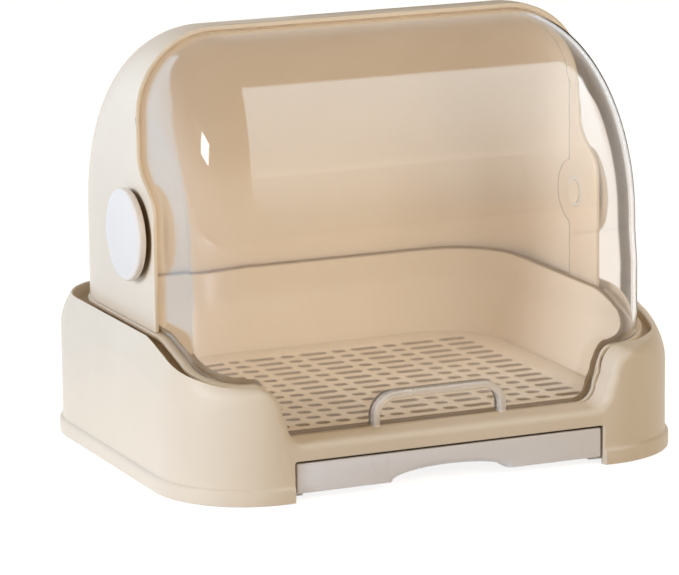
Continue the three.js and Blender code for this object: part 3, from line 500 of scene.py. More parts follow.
def cornerWeb(side, end):
    x0, y0, low, high = base["web"]
    radius, centreY = wall["corner"] - wall["thick"] / 2, wall["back"] - wall["corner"]
    first = math.degrees(math.asin((y0 - centreY) / radius))
    last = math.degrees(math.acos((x0 - cornerStart) / radius))
    outline = [(x0, y0)] + arcPoints(cornerStart, centreY, radius, first, last, base["webSteps"])
    grid = [[(side * x, end * y, z) for x, y in outline] for z in (low, high)]
    return tidyMesh(gridPiece("web", grid, closeColumns=True, capRows=True))


def makeBase():
    body = tidyMesh(gridPiece("baseShell", allRound(baseSection), closeRows=True, closeColumns=True))
    pieces = [combine(body, openingCutter(), "DIFFERENCE")]
    (x0, x1), (y0, y1), z = base["tab"]
    for side, end in corners:
        x, y = sorted((side * x0, side * x1)), sorted((end * y0, end * y1))
        pieces += [cornerWeb(side, end), roundedBox("tab", x, y, z, base["tabRound"])]
    return smoothShade(joinMeshes("baseShell", pieces))


# The cover's two halves are domes about the pivot axis, with rounded edges along their flat sides
pivot = {"y": -5.0, "z": 134.5}
shell = {
    "half": 140.5, "front": 115.5, "back": 115.5, "top": 115.5,
    "lowCorner": 48.0, "frontCorner": 48.0, "topCorner": 48.0, "backCorner": 48.0,
    "thick": 2.5, "low": 82.4, "ridge": -9.5, "cheek": -33.0, "stepLow": 147.0, "stepHigh": 181.0,
    "bore": 9.4, "boreSteps": 48, "boreReach": 20.0, "edgeRound": 0.6,
    "steps": (10, 56, 16, 20), "acrossSteps": 6,
}
visor = {
    "half": 137.2, "front": 98.0, "back": 112.2, "top": 112.2,
    "lowCorner": 24.0, "frontCorner": 27.5, "topCorner": 44.7, "backCorner": 44.7,
    "thick": 2.5, "floorDrop": 0.7, "rear": -1.0, "ear": 19.0, "edgeRound": 0.6, "frostStart": 0.3,
    "steps": (22, 60, 18, 16), "acrossSteps": 7,
}
# Where the front corner's radius starts to change from lowCorner to frontCorner, and for how long, as
# shares of the height from the rim to the pivots; and a depth below the pivots where edges are straight
cornerChange = (0.6, 0.3)
straightBelow = 40


def aboutPivot(x, u, v):
    return x, pivot["y"] + u, pivot["z"] + v


# A point of a dome: `turn` goes from the back (0) over the top (90) to the front (180), `corner` from
# the broad face (0) to the flat side (90), and `run` from the middle (0) to where the corner starts (1)
def domePoint(dome, turn, corner, run=1.0):
    reach = dome["back"] if turn < 90 else -dome["front"]
    edge = dome["backCorner"] if turn < 90 else dome["frontCorner"]
    along, up = abs(math.cos(math.radians(turn))), math.sin(math.radians(turn))
    size = math.hypot(along / abs(reach), up / dome["top"])
    normalY, normalZ = math.copysign(along / abs(reach) / size, reach), up / dome["top"] / size
    radius = mix(edge, dome["topCorner"], up * up)
    lean = math.radians(corner)
    drop = radius * (1 - math.cos(lean))
    x = run * (dome["half"] - radius) if corner == 0 else dome["half"] - radius + radius * math.sin(lean)
    return aboutPivot(x, reach * along - normalY * drop, dome["top"] * up - normalZ * drop)


def topEnd(dome, corner, edgeY):
    reach = dome["top"] - dome["topCorner"] * (1 - math.cos(math.radians(corner)))
    return 90 - math.degrees(math.asin((edgeY - pivot["y"]) / reach))


def stepEdge(z):
    low, high, near, far = shell["stepLow"], shell["stepHigh"], shell["cheek"], shell["ridge"]
    if z <= low:
        return near
    if z >= high:
        return far
    middle = (low + high) / 2
    ends = [(near, low), (near, middle), (far, middle), (far, high)]
    return curvePoint(ends, search(0.0, 1.0, lambda t: curvePoint(ends, t)[1] < z))[0]


def earEdge(z):
    rise = z - pivot["z"]
    ear = visor["ear"]
    reach = pivot["y"] + math.sqrt(ear * ear - rise * rise) if abs(rise) < ear else visor["rear"]
    return max(reach, visor["rear"])


# One sheet of a dome as rows of points from one flat side across to the other, first up from the
# floor line to the pivots' height, then on over the top to `rear`
def domeRows(dome, uprightTurn, rear, edge, floorAt, acrossX):
    lowRows, highRows, sideColumns, cornerColumns = dome["steps"]
    topZ = domePoint(dome, topEnd(dome, 90, rear), 90)[2]
    rows = []
    for k in range(lowRows + highRows + 1):
        rising, below = max(k - lowRows, 0) / highRows, min(k / lowRows, 1)
        eased = limited((below - cornerChange[0]) / cornerChange[1])
        shape = {**dome, "frontCorner": mix(dome["lowCorner"], dome["frontCorner"], eased)}

        def raised(x, y, z):
            return x, y, mix(floorAt(x, y), pivot["z"], below) if k < lowRows else z

        columns = [
            (mix(uprightTurn, topEnd(dome, corner, rear), rising), corner, 1.0)
            for corner in between(90, 0, cornerColumns)
        ]
        columns += [(columns[-1][0], 0, run) for run in acrossX]
        right = [raised(*domePoint(shape, *column)) for column in columns]
        x, y, z = right[0]
        edgeZ = raised(x, edge(pivot["z"] - straightBelow), mix(pivot["z"], topZ, rising))[2]
        edgeY = edge(edgeZ)
        sides = [raised(x, mix(edgeY, y, t), mix(edgeZ, z, t)) for t in between(0, 1, sideColumns)[:-1]]
        half = sides + right
        rows.append([(-px, py, pz) for px, py, pz in half] + list(reversed(half[:-1])))
    return rows


def makeDome(name, dome, *rowSettings):
    piece = tidyMesh(gridPiece(name, domeRows(dome, *rowSettings)), closed=False)
    middle = Vector((0, pivot["y"] * mm, pivot["z"] * mm))
    if sum(f.normal.dot(f.center - middle) * f.area for f in piece.data.polygons) < 0:
        piece.data.flip_normals()
    modify(
        piece, "SOLIDIFY", thickness=dome["thick"] * mm, offset=-1,
        use_even_offset=True, use_quality_normals=True,
    )
    return roundEdges(piece, dome["edgeRound"], 3)


def makeShell():
    across = between(1, 0, shell["acrossSteps"])[1:]
    piece = makeDome("rearShell", shell, 0, shell["ridge"], stepEdge, lambda x, y: shell["low"], across)
    beyond = shell["half"] + shell["boreReach"]
    bore = [(-beyond, 0), (-beyond, shell["bore"]), (beyond, shell["bore"]), (beyond, 0)]
    return smoothShade(combine(piece, turned("bore", bore, shell["boreSteps"], aboutPivot), "DIFFERENCE"))


# The visor's front meets the steep step of the rim, so its columns stand where the rim line's do
def visorColumns():
    flat = visor["half"] - visor["lowCorner"]
    lengths = [s["length"] + s["up"] * visor["floorDrop"] for s in stations]
    front = [x for x in lengths if 0 <= x < cornerStart]
    front += between(cornerStart + 1, flat, visor["acrossSteps"])[:-1]
    return [x / flat for x in sorted(front, reverse=True)]


# The grip: an arched band on the visor's front
grip = {
    "half": 41.0, "low": 34.3, "top": 53.0, "band": 4.0, "reach": 8.0, "corner": 14.0, "round": 1.3,
    "root": 1.2, "legSteps": 4, "topSteps": 8, "arcSteps": 16, "roundSteps": 5,
}


def makeGrip():
    half, rounded = grip["band"] / 2, grip["round"]
    middle, edge = grip["corner"] - half, grip["half"] - half
    inner, top = grip["half"] - grip["corner"], grip["top"] - grip["corner"]
    path = [(-edge, z) for z in between(grip["low"], top, grip["legSteps"])[:-1]]
    path += arcPoints(-inner, top, middle, 180, 90, grip["arcSteps"])
    path += [(x, top + middle) for x in between(-inner, inner, grip["topSteps"])[1:-1]]
    path += arcPoints(inner, top, middle, 90, 0, grip["arcSteps"])
    path += [(edge, z) for z in between(top, grip["low"], grip["legSteps"])[1:]]
    visorFront = pivot["y"] - visor["front"]
    near, far = visorFront - grip["reach"], visorFront + grip["root"]
    section = arcPoints(half - rounded, near + rounded, rounded, 0, -90, grip["roundSteps"])
    section += arcPoints(-half + rounded, near + rounded, rounded, -90, -180, grip["roundSteps"])
    section += [(-half, far), (half, far)]
    grid = []
    for (x, z), (along, up) in zip(path, directions(path)):
        grid.append([(x - up * u, y, z + along * u) for u, y in section])
    return tidyMesh(gridPiece("grip", grid, closeColumns=True, capRows=True))


def makeVisor():
    piece = makeDome(
        "clearVisor", visor, 180, visor["rear"], earEdge,
        lambda x, y: rimHeightAt(x, y, visor["floorDrop"]), visorColumns(),
    )
    combine(piece, makeGrip(), "UNION")
    gripStart = pivot["y"] - visor["front"] - visor["frostStart"]
    setValues(piece, "frost", [1.0 if v.co.y / mm < gripStart else 0.0 for v in piece.data.vertices])
    return smoothShade(piece, coarse)


# Stub axles: round through the bush, then with two driving flats
stub = {
    "radius": 7.0, "flat": 5.4, "start": 137.3, "step": (142.3, 142.32), "end": 145.0, "edge": 0.4,
    "steps": 48,
}


def makeStubs():
    radius, flat, edge = stub["radius"], stub["flat"], stub["edge"]
    sections = [
        (stub["start"], radius, radius), (stub["step"][0], radius, radius), (stub["step"][1], radius, flat),
        (stub["end"] - edge, radius, flat), (stub["end"], radius - edge, flat - edge),
    ]
    pieces = []
    for side in (-1, 1):
        grid = []
        for x, reach, flatReach in sections:
            ring = arcPoints(0, 0, reach, 0, 360, stub["steps"])[:-1]
            grid.append([aboutPivot(side * x, u, limited(v, -flatReach, flatReach)) for u, v in ring])
        pieces.append(tidyMesh(gridPiece("stub", grid, closeColumns=True, capRows=True)))
    return smoothShade(joinMeshes("pivotStubs", pieces))


def stageMade(piece):
    print("stage:", piece.name, len(piece.data.polygons))
    return piece


baseShell = stageMade(makeBase())
innerBin = stageMade(makeBin())
rearShell = stageMade(makeShell())
clearVisor = stageMade(makeVisor())


# Node tree helpers: an input takes a value, a socket to link, or a list of sockets
def setInputs(tree, node, inputs):
    for key, value in inputs.items():
        for item in value if isinstance(value, list) else [value]:
            if isinstance(item, bpy.types.NodeSocket):
                tree.links.new(item, node.inputs[key])
            else:
                node.inputs[key].default_value = item
    return node


def addNode(tree, kind, inputs=None, **settings):
    node = tree.nodes.new(kind)
    for key, value in settings.items():
        setattr(node, key, value)
    return setInputs(tree, node, inputs or {})


def take(tree, kind, output, inputs=None, **settings):
    return addNode(tree, kind, inputs, **settings).outputs[output]


def calc(tree, operation, *values, clamp=False):
    return take(tree, "ShaderNodeMath", 0, dict(enumerate(values)), operation=operation, use_clamp=clamp)


def mapRange(tree, value, start, stop, first=0.0, last=1.0):
    return take(tree, "ShaderNodeMapRange", "Result", {
        "Value": value, "From Min": start, "From Max": stop, "To Min": first, "To Max": last,
    })


def vector(tree, **parts):
    return take(tree, "ShaderNodeCombineXYZ", "Vector", parts)


def newTree(name, kind, inputs, output):
    tree = bpy.data.node_groups.new(name, kind)
    for way, sockets in (("INPUT", inputs), ("OUTPUT", [output])):
        for socketName, socketType in sockets:
            tree.interface.new_socket(socketName, in_out=way, socket_type="NodeSocket" + socketType)
    return tree, addNode(tree, "NodeGroupInput").outputs, addNode(tree, "NodeGroupOutput")


# Geometry Nodes: `build` wires one tree per name, and every float setting is a length
builtTrees = {}


def runTree(piece, name, build, settings):
    if name not in builtTrees:
        kinds = {float: "Float", int: "Int", bpy.types.Material: "Material"}
        inputs = [("Geometry", "Geometry")] + [(key, kinds[type(value)]) for key, value in settings.items()]
        tree, values, end = newTree(name, "GeometryNodeTree", inputs, ("Geometry", "Geometry"))
        plain = take(tree, "GeometryNodeRealizeInstances", "Geometry", {"Geometry": build(tree, values)})
        setInputs(tree, end, {"Geometry": take(tree, "GeometryNodeSetMaterial", "Geometry", {
            "Geometry": plain, "Material": values["Material"],
        })})
        builtTrees[name] = tree
    modifier = piece.modifiers.new("tree", "NODES")
    modifier.node_group = builtTrees[name]
    for item in builtTrees[name].interface.items_tree:
        if item.in_out == "INPUT" and item.name in settings:
            value = settings[item.name]
            modifier[item.identifier] = value * mm if isinstance(value, float) else value
    return settle(piece)


def pointPiece(name, points, attributes, loop=()):
    count = len(loop)
    mesh = bpy.data.meshes.new(name)
    edges = [(k, (k + 1) % count) for k in range(count)]
    mesh.from_pydata([[c * mm for c in p] for p in list(loop) + points], edges, [])
    piece = linkPiece(name, mesh)
    for key, (kind, values) in attributes.items():
        setValues(piece, key, [0] * count + list(values), kind)
    return piece


def named(tree, key, kind):
    return take(tree, "GeometryNodeInputNamedAttribute", "Attribute", {"Name": key}, data_type=kind)


def cylinder(tree, sides, radius, depth):
    inputs = {"Vertices": sides, "Radius": radius, "Depth": depth}
    return take(tree, "GeometryNodeMeshCylinder", "Mesh", inputs)


def lifted(tree, geometry, height):
    return take(tree, "GeometryNodeTransform", "Geometry", {
        "Geometry": geometry, "Translation": vector(tree, Z=height),
    })


def joined(tree, parts):
    return take(tree, "GeometryNodeJoinGeometry", "Geometry", {"Geometry": parts})


def cutFrom(tree, body, tools):
    inputs = {"Mesh 1": body, "Mesh 2": tools}
    return take(tree, "GeometryNodeMeshBoolean", "Mesh", inputs, operation="DIFFERENCE")


def placedOn(tree, points, shape, **more):
    inputs = {"Points": points, "Instance": shape, **more}
    return take(tree, "GeometryNodeInstanceOnPoints", "Instances", inputs)


# Drain grille: an outline, and rows of slots that take turns long and short from the middle
grille = {
    "top": 34.5, "gap": 3.2, "edgeRound": 0.4, "cornerSteps": 24, "outerEdge": 1.5, "flatNormal": 0.85,
    "legX": 107.5, "legY": (-77.15, 56.24), "legSides": 28, "slotSteps": 4, "weld": 0.001,
}
slots = {
    "Slot Width": 6.4, "Slot Round": 2.6, "Long": 17.0, "Short": 8.4, "Bridge": 4.0, "Last Row": 71.04,
    "Pitch": 13.2, "Back Rows": 5, "Front Rows": 8, "Thickness": 2.4, "Leg Radius": 3.5, "Leg Foot": 28.3,
}
# What a template point stands for: the outline, a slot in every row, in the back or front rows, a leg
outlinePoint, everyRow, backRow, frontRow, legPoint = 0, 1, 2, 3, 9
longSlot, shortSlot, thirdSlot = 1, 2, 3


def roundedOutline(half, front, back, frontCorner, backCorner, steps):
    points = arcPoints(half - backCorner, back - backCorner, backCorner, 0, 90, steps)
    points += arcPoints(-half + backCorner, back - backCorner, backCorner, 90, 180, steps)
    points += arcPoints(-half + frontCorner, front + frontCorner, frontCorner, 180, 270, steps)
    return points + arcPoints(half - frontCorner, front + frontCorner, frontCorner, 270, 360, steps)


def slottedPlate(tree, values):
    kind, slotKind = named(tree, "kind", "INT"), named(tree, "slotKind", "INT")

    def equal(value, number):
        inputs = {2: value, 3: number}
        return take(tree, "FunctionNodeCompare", "Result", inputs, data_type="INT", operation="EQUAL")

    def only(selection):
        return take(tree, "GeometryNodeSeparateGeometry", "Selection", {
            "Geometry": values["Geometry"], "Selection": selection,
        }, domain="POINT")

    def instance(points, shape, **more):
        placed = placedOn(tree, points, shape, **more)
        return take(tree, "GeometryNodeRealizeInstances", "Geometry", {"Geometry": placed})

    outline = take(tree, "GeometryNodeMeshToCurve", "Curve", {"Mesh": only(equal(kind, outlinePoint))})
    back, pitch = values["Last Row"], values["Pitch"]
    front = calc(tree, "SUBTRACT", back, calc(tree, "MULTIPLY", values["Back Rows"], pitch))
    spots = []
    for rows, first, own in (("Back Rows", back, backRow), ("Front Rows", front, frontRow)):
        line = take(tree, "GeometryNodeMeshLine", "Mesh", {
            "Count": values[rows], "Start Location": vector(tree, Y=first),
            "Offset": vector(tree, Y=calc(tree, "MULTIPLY", pitch, -1)),
        }, mode="OFFSET")
        either = {0: equal(kind, everyRow), 1: equal(kind, own)}
        either = take(tree, "FunctionNodeBooleanMath", "Boolean", either, operation="OR")
        spots.append(instance(line, only(either)))
    spots = joined(tree, spots)
    third = calc(tree, "MULTIPLY_ADD", values["Short"], 2, values["Bridge"])
    curves = [outline]
    for number, length in ((longSlot, values["Long"]), (shortSlot, values["Short"]), (thirdSlot, third)):
        bar = take(tree, "GeometryNodeCurvePrimitiveQuadrilateral", "Curve", {
            "Width": length, "Height": values["Slot Width"],
        }, mode="RECTANGLE")
        bar = take(tree, "GeometryNodeFilletCurve", "Curve", {
            "Curve": bar, "Radius": values["Slot Round"], "Count": grille["slotSteps"], "Limit Radius": True,
        }, mode="POLY")
        curves.append(instance(spots, bar, Selection=equal(slotKind, number)))
    sheet = take(tree, "GeometryNodeFillCurve", "Mesh", {"Curve": joined(tree, curves)}, mode="TRIANGLES")
    raised = take(tree, "GeometryNodeExtrudeMesh", "Mesh", {
        "Mesh": sheet, "Offset": vector(tree, Z=1), "Offset Scale": values["Thickness"], "Individual": False,
    }, mode="FACES")
    plate = joined(tree, [raised, take(tree, "GeometryNodeFlipFaces", "Mesh", {"Mesh": sheet})])
    plate = take(tree, "GeometryNodeMergeByDistance", "Geometry", {
        "Geometry": plate, "Distance": grille["weld"] * mm,
    })
    middle = calc(tree, "MULTIPLY_ADD", values["Leg Height"], 0.5, values["Leg Foot"])
    leg = cylinder(tree, grille["legSides"], values["Leg Radius"], values["Leg Height"])
    leg = lifted(tree, leg, middle)
    return joined(tree, [lifted(tree, plate, values["Bottom"]), instance(only(equal(kind, legPoint)), leg)])


def makeGrille(material):
    bottom = grille["top"] - slots["Thickness"]
    outline = binShape(bottom, grille["gap"])
    loop = [(x, y, 0) for x, y in roundedOutline(*outline, grille["cornerSteps"])]
    long, short, bridge = slots["Long"], slots["Short"], slots["Bridge"]
    third = 2 * short + bridge
    spots, x = [(0.0, 0.0, longSlot, everyRow)], long / 2
    for slotKind, length, kind in [
        (shortSlot, short, everyRow), (longSlot, long, everyRow), (shortSlot, short, everyRow),
        (thirdSlot, third, backRow), (shortSlot, short, frontRow), (shortSlot, short, frontRow),
        (longSlot, long, everyRow),
    ]:
        middle = x + bridge + length / 2
        spots += [(middle, 0.0, slotKind, kind), (-middle, 0.0, slotKind, kind)]
        if kind != backRow:
            x = middle + length / 2
    spots += [(side * grille["legX"], y, 0, legPoint) for side in (-1, 1) for y in grille["legY"]]
    xs, ys, slotKinds, kinds = zip(*spots)
    piece = pointPiece("drainGrille", [(x, y, 0) for x, y in zip(xs, ys)], {
        "kind": ("INT", kinds), "slotKind": ("INT", slotKinds),
    }, loop)
    legHeight = bottom + slots["Thickness"] / 2 - slots["Leg Foot"]
    runTree(piece, "slottedPlate", slottedPlate, {
        **slots, "Bottom": bottom, "Leg Height": legHeight, "Material": material,
    })
    roundEdges(piece, grille["edgeRound"])
    # The slots' walls are marked for painted shade, darker the steeper they stand; the outer wall isn't
    shades = []
    for face in piece.data.polygons:
        centreX, centreY = abs(face.center.x) / mm, face.center.y / mm
        length = wallLength(centreX, centreY)
        x, y = wallPoint(length, insetTo(length, outline))
        inside = math.hypot(centreX - x, centreY - y) > grille["outerEdge"]
        shades.append(1.0 - min(abs(face.normal.z) / grille["flatNormal"], 1.0) if inside else 0.0)
    return smoothShade(setValues(piece, "shade", shades, domain="FACE"))


# Screws and foot pads: a head with a cross recess on a shank, and a pad with a dished sole
smallScrew = {
    "Head Radius": 3.0, "Head Height": 2.0, "Shank Radius": 1.5, "Cross Length": 3.4, "Cross Width": 0.8,
}
screwSizes = {
    "base": {**smallScrew, "Shank Length": 12.0},
    "rail": {**smallScrew, "Shank Length": 6.5},
    "pivot": {
        "Head Radius": 8.0, "Head Height": 1.6, "Shank Radius": 2.0, "Cross Length": 4.6, "Cross Width": 1.0,
        "Shank Length": 7.4,
    },
}
screwHeights = {"base": 6.7, "rail": 15.9}
pivotScrewX = 147.2
headSides, shankSides, headRound = 36, 18, 0.25
pad = {"Radius": 7.0, "Thickness": 3.0, "Dish Radius": 4.6, "Dish Depth": 0.6}
padPlace, padSides, padRound = (120.0, 88.0), 40, 0.35


def screwShape(tree, values):
    def bar(radius, height, low, sides):
        middle = calc(tree, "MULTIPLY_ADD", height, 0.5, low)
        return lifted(tree, cylinder(tree, sides, radius, height), middle)

    headHeight = values["Head Height"]
    head = bar(values["Head Radius"], headHeight, 0.0, headSides)
    overlap = calc(tree, "MULTIPLY", headHeight, 0.5)
    length = calc(tree, "ADD", values["Shank Length"], overlap)
    shank = bar(values["Shank Radius"], length, overlap, shankSides)
    body = take(tree, "GeometryNodeMeshBoolean", "Mesh", {"Mesh 2": [head, shank]}, operation="UNION")
    cross = []
    for x, y in (("Cross Length", "Cross Width"), ("Cross Width", "Cross Length")):
        size = vector(tree, X=values[x], Y=values[y], Z=headHeight)
        cross.append(take(tree, "GeometryNodeMeshCube", "Mesh", {"Size": size}))
    turn = vector(tree, Y=named(tree, "turn", "FLOAT"))
    return placedOn(tree, values["Geometry"], cutFrom(tree, body, cross), Rotation=turn)


def screws(name, points, turns=(0.0, 0.0, 0.0, 0.0)):
    piece = pointPiece(name + "Screws", points, {"turn": ("FLOAT", turns)})
    runTree(piece, "screwSet", screwShape, {**screwSizes[name], "Material": materials["screwSteel"]})
    return smoothShade(roundEdges(tidyMesh(piece), headRound))


def padShape(tree, values):
    block = cylinder(tree, padSides, values["Radius"], values["Thickness"])
    block = lifted(tree, block, calc(tree, "MULTIPLY", values["Thickness"], 0.5))
    dish = cylinder(tree, padSides, values["Dish Radius"], calc(tree, "MULTIPLY", values["Dish Depth"], 2.0))
    return placedOn(tree, values["Geometry"], cutFrom(tree, block, dish))


def makePads():
    x, y = padPlace
    piece = pointPiece("footPads", [(side * x, end * y, 0.0) for side, end in corners], {})
    runTree(piece, "padSet", padShape, {**pad, "Material": materials["padRubber"]})
    return smoothShade(roundEdges(tidyMesh(piece), padRound, 3))


# Drip drawer: a tray behind a taller front, with a finger pull under the middle of the front
drawer = {
    "half": 93.6, "front": -124.5, "back": 71.5, "bottom": 5.0, "top": 21.9, "trayTop": 19.5,
    "frontThick": 3.0, "wall": 2.0, "round": 0.8, "innerRound": 1.4,
    "pullHalf": 35.0, "pullRise": 6.0, "pullDepth": 26.0, "pullLip": 4.2, "pullSteps": 40, "lipSteps": 8,
    "pullReach": 5.0, "pullFace": 0.01, "lap": 1.0, "above": 20.0, "weld": 0.01,
}


def pullSolid(grow, lip=0.0):
    def section(y, more):
        half, rise = drawer["pullHalf"] + more, drawer["pullRise"] + more
        arch = arcPoints(0, 0, 1, 0, 180, drawer["pullSteps"])
        outline = [(u * half, drawer["bottom"] + v * rise) for u, v in arch]
        return [(x, y, z) for x, z in outline + [(-half, farBelow), (half, farBelow)]]

    front, deep = drawer["front"], drawer["front"] + drawer["pullDepth"] + grow
    levels = [(front - drawer[key], grow + lip) for key in ("pullReach", "pullFace")]
    if lip:
        levels += [(front + lip * (1 - c), grow + lip * (1 - s)) for s, c in quarterOf(drawer["lipSteps"])]
    grid = [section(y, more) for y, more in levels + [(deep, grow)]]
    return tidyMesh(gridPiece("pull", grid, closeColumns=True, capRows=True))


def makeDrawer():
    half, thick, bottom, front, back = (drawer[key] for key in ("half", "wall", "bottom", "front", "back"))
    inside = front + drawer["frontThick"]
    panel = roundedBox("dripDrawer", (-half, half), (front, inside), (bottom, drawer["top"]), drawer["round"])
    trayStart = front + drawer["lap"]
    tray = roundedBox("tray", (-half, half), (trayStart, back), (bottom, drawer["trayTop"]), drawer["round"])
    combine(panel, tray, "UNION")
    hollow = roundedBox(
        "hollow", (-half + thick, half - thick), (inside, back - thick),
        (bottom + thick, drawer["top"] + drawer["above"]), drawer["innerRound"],
    )
    combine(hollow, pullSolid(thick), "DIFFERENCE")
    combine(panel, hollow, "DIFFERENCE")
    combine(panel, pullSolid(0, drawer["pullLip"]), "DIFFERENCE")
    return smoothShade(tidyMesh(panel, drawer["weld"]))


# Knobs: a white disc, slightly crowned, hollow behind for the carrier plate
knob = {
    "radius": 26.5, "inside": 143.5, "outside": 149.0, "edge": 2.0, "pocket": 18.3, "pocketEnd": 147.5,
    "crown": 0.35, "crownStart": 0.1, "crownSteps": 8, "edgeSteps": (5, 7), "edgeEnd": 12, "steps": 96,
    "shadeInset": 1.0, "shadeSkin": 0.5,
}


def makeKnob(name, side):
    radius, edge, inside = knob["radius"], knob["edge"], knob["inside"]
    rise, flat = knob["outside"] - knob["crown"], knob["radius"] - knob["edge"]
    profile = [(knob["pocketEnd"], 0), (knob["pocketEnd"], knob["pocket"]), (inside, knob["pocket"])]
    profile += arcPoints(inside + edge, flat, edge, 180, 90, knob["edgeSteps"][0])
    profile += arcPoints(rise - edge, flat, edge, 90, knob["edgeEnd"], knob["edgeSteps"][1])
    for t in between(knob["crownStart"], 1, knob["crownSteps"]):
        r = flat * (1 - t)
        profile.append((rise + knob["crown"] * (1 - (r / flat) ** 2), r))
    profile = [(side * x, r) for x, r in profile]
    return smoothShade(turned(name, profile, knob["steps"], aboutPivot), coarse)


# How sharply each vertex stands out, from 0 on a flat or a hollow to 1 on a crisp outer edge
def markEdges(piece, full=35.0):
    work = bmesh.new()
    work.from_mesh(piece.data)
    sharp = [0.0] * len(work.verts)
    for edge in work.edges:
        if len(edge.link_faces) == 2:
            turn = math.degrees(edge.calc_face_angle_signed(0.0)) / full
            for vertex in edge.verts:
                sharp[vertex.index] = max(sharp[vertex.index], min(turn, 1.0))
    work.free()
    return setValues(piece, "edge", sharp)


# Shader groups: slow changes of tone, fine mould grain, and worn outer edges. `noise` holds scale and
# detail, or the detail alone; the scale of the finer tone is a multiple of the large one's. The four
# values of a range are from, to, and what they become
noise = {"flow": (26.0, 1.0), "patchy": (90.0, 3.0), "large": 2.0, "finer": (5.3, 3.0), "grain": 4.0}
stretch = {"finer": (1.0, 1.0, 0.55), "flow": (1.0, 1.0, 0.4)}
finerShare, toneMiddle = 0.45, 0.725
edgePatches = (0.35, 0.65, 0.45, 1.0)
# Painted shadow behind the knobs: full within this share of their radius, gone at its edge
knobGap = (0.93, 1.0, 1.0, 0.0)


def objectNoise(tree, scale, detail, stretched=None):
    place = take(tree, "ShaderNodeTexCoord", "Object")
    if stretched:
        place = take(tree, "ShaderNodeMapping", "Vector", {"Vector": place, "Scale": stretched})
    return take(tree, "ShaderNodeTexNoise", "Fac", {"Vector": place, "Scale": scale, "Detail": detail})


def shaderGroup(name, inputs, output, build):
    tree, values, end = newTree(name, "ShaderNodeTree", [(key, "Float") for key in inputs], output)
    setInputs(tree, end, {0: build(tree, *(values[key] for key in inputs))})
    return tree


def slowTone(tree, scale, contrast):
    share, detail = noise["finer"]
    large = objectNoise(tree, scale, noise["large"])
    small = objectNoise(tree, calc(tree, "MULTIPLY", scale, share), detail, stretch["finer"])
    both = calc(tree, "MULTIPLY_ADD", small, finerShare, large)
    centred = calc(tree, "SUBTRACT", both, toneMiddle)
    return calc(tree, "MULTIPLY_ADD", centred, contrast, 0.5, clamp=True)


def mouldGrain(tree, size, depth, flowDepth):
    def bump(height, distance, **more):
        return take(tree, "ShaderNodeBump", "Normal", {
            "Strength": 1.0, "Distance": distance, "Height": height, **more,
        })

    flow = objectNoise(tree, *noise["flow"], stretch["flow"])
    grain = objectNoise(tree, calc(tree, "DIVIDE", 1.0, size), noise["grain"])
    return bump(grain, depth, Normal=bump(flow, flowDepth))


def edgeTouch(tree, amount):
    edge = take(tree, "ShaderNodeAttribute", "Fac", attribute_name="edge")
    patchy = mapRange(tree, objectNoise(tree, *noise["patchy"]), *edgePatches)
    return calc(tree, "MULTIPLY", calc(tree, "MULTIPLY", edge, patchy), amount, clamp=True)


# Painted deep shade: a dark colour where a mesh is marked, and a painted shadow in the narrow gap behind the
# knobs
def deepShade(tree, knobRadius):
    marked = take(tree, "ShaderNodeAttribute", "Fac", attribute_name="shade")
    place = take(tree, "ShaderNodeTexCoord", "Object")
    centre = take(tree, "ShaderNodeMapping", "Vector", {
        "Vector": place, "Location": (0, -pivot["y"] * mm, -pivot["z"] * mm), "Scale": (0, 1, 1),
    })
    away = take(tree, "ShaderNodeVectorMath", "Value", {0: centre}, operation="LENGTH")
    disc = mapRange(tree, calc(tree, "DIVIDE", away, knobRadius), *knobGap)
    side = calc(tree, "ABSOLUTE", take(tree, "ShaderNodeSeparateXYZ", "X", {"Vector": place}))
    outer = calc(tree, "GREATER_THAN", side, (shell["half"] - knob["shadeSkin"]) * mm)
    return calc(tree, "MAXIMUM", calc(tree, "MULTIPLY", disc, outer), marked, clamp=True)


grainInputs = ["Grain Size", "Grain Depth", "Flow Depth"]
groups = {
    "tone": shaderGroup("slowTone", ["Scale", "Contrast"], ("Tone", "Float"), slowTone),
    "grain": shaderGroup("mouldGrain", grainInputs, ("Normal", "Vector"), mouldGrain),
    "edge": shaderGroup("edgeTouch", ["Amount"], ("Mask", "Float"), edgeTouch),
    "shade": shaderGroup("deepShade", ["Knob Radius"], ("Mask", "Float"), deepShade),
}


def useGroup(tree, name, *values):
    return take(tree, "ShaderNodeGroup", 0, dict(enumerate(values)), node_tree=groups[name])


def mixColour(tree, share, a, b):
    a, b = (value if isinstance(value, bpy.types.NodeSocket) else (*value, 1.0) for value in (a, b))
    return take(tree, "ShaderNodeMix", 2, {0: share, 6: a, 7: b}, data_type="RGBA")


def newMaterial(name):
    material = bpy.data.materials.new(name)
    material.use_nodes = True
    tree = material.node_tree
    return material, tree, tree.nodes["Principled BSDF"]


# A finish: two tones that drift into each other, a lighter or darker tone on outer edges, a
# roughness that drifts with the tone, and grain in the surface. `tone` holds scale and contrast,
# `grain` the grain's size and depth and the depth of slow waves, in millimetres
def makeFinish(name, finish):
    material, tree, shader = newMaterial(name)
    tone = useGroup(tree, "tone", *finish["tone"])
    colour = mixColour(tree, tone, finish["low"], finish["high"])
    colour = mixColour(tree, useGroup(tree, "edge", finish["edgeAmount"]), colour, finish["edge"])
    # Painted shade: the `deep` colour is mixed in where a mesh is marked and in the gap behind the knobs
    if "deep" in finish:
        shade = useGroup(tree, "shade", (knob["radius"] - knob["shadeInset"]) * mm)
        colour = mixColour(tree, shade, colour, finish["deep"])
    setInputs(tree, shader, {
        "Base Color": colour, "Roughness": mapRange(tree, tone, 0.0, 1.0, *finish["rough"]),
        "Normal": useGroup(tree, "grain", *(v * mm for v in finish["grain"])), **finish.get("plain", {}),
    })
    material.diffuse_color = (*finish["high"], 1.0)
    return material
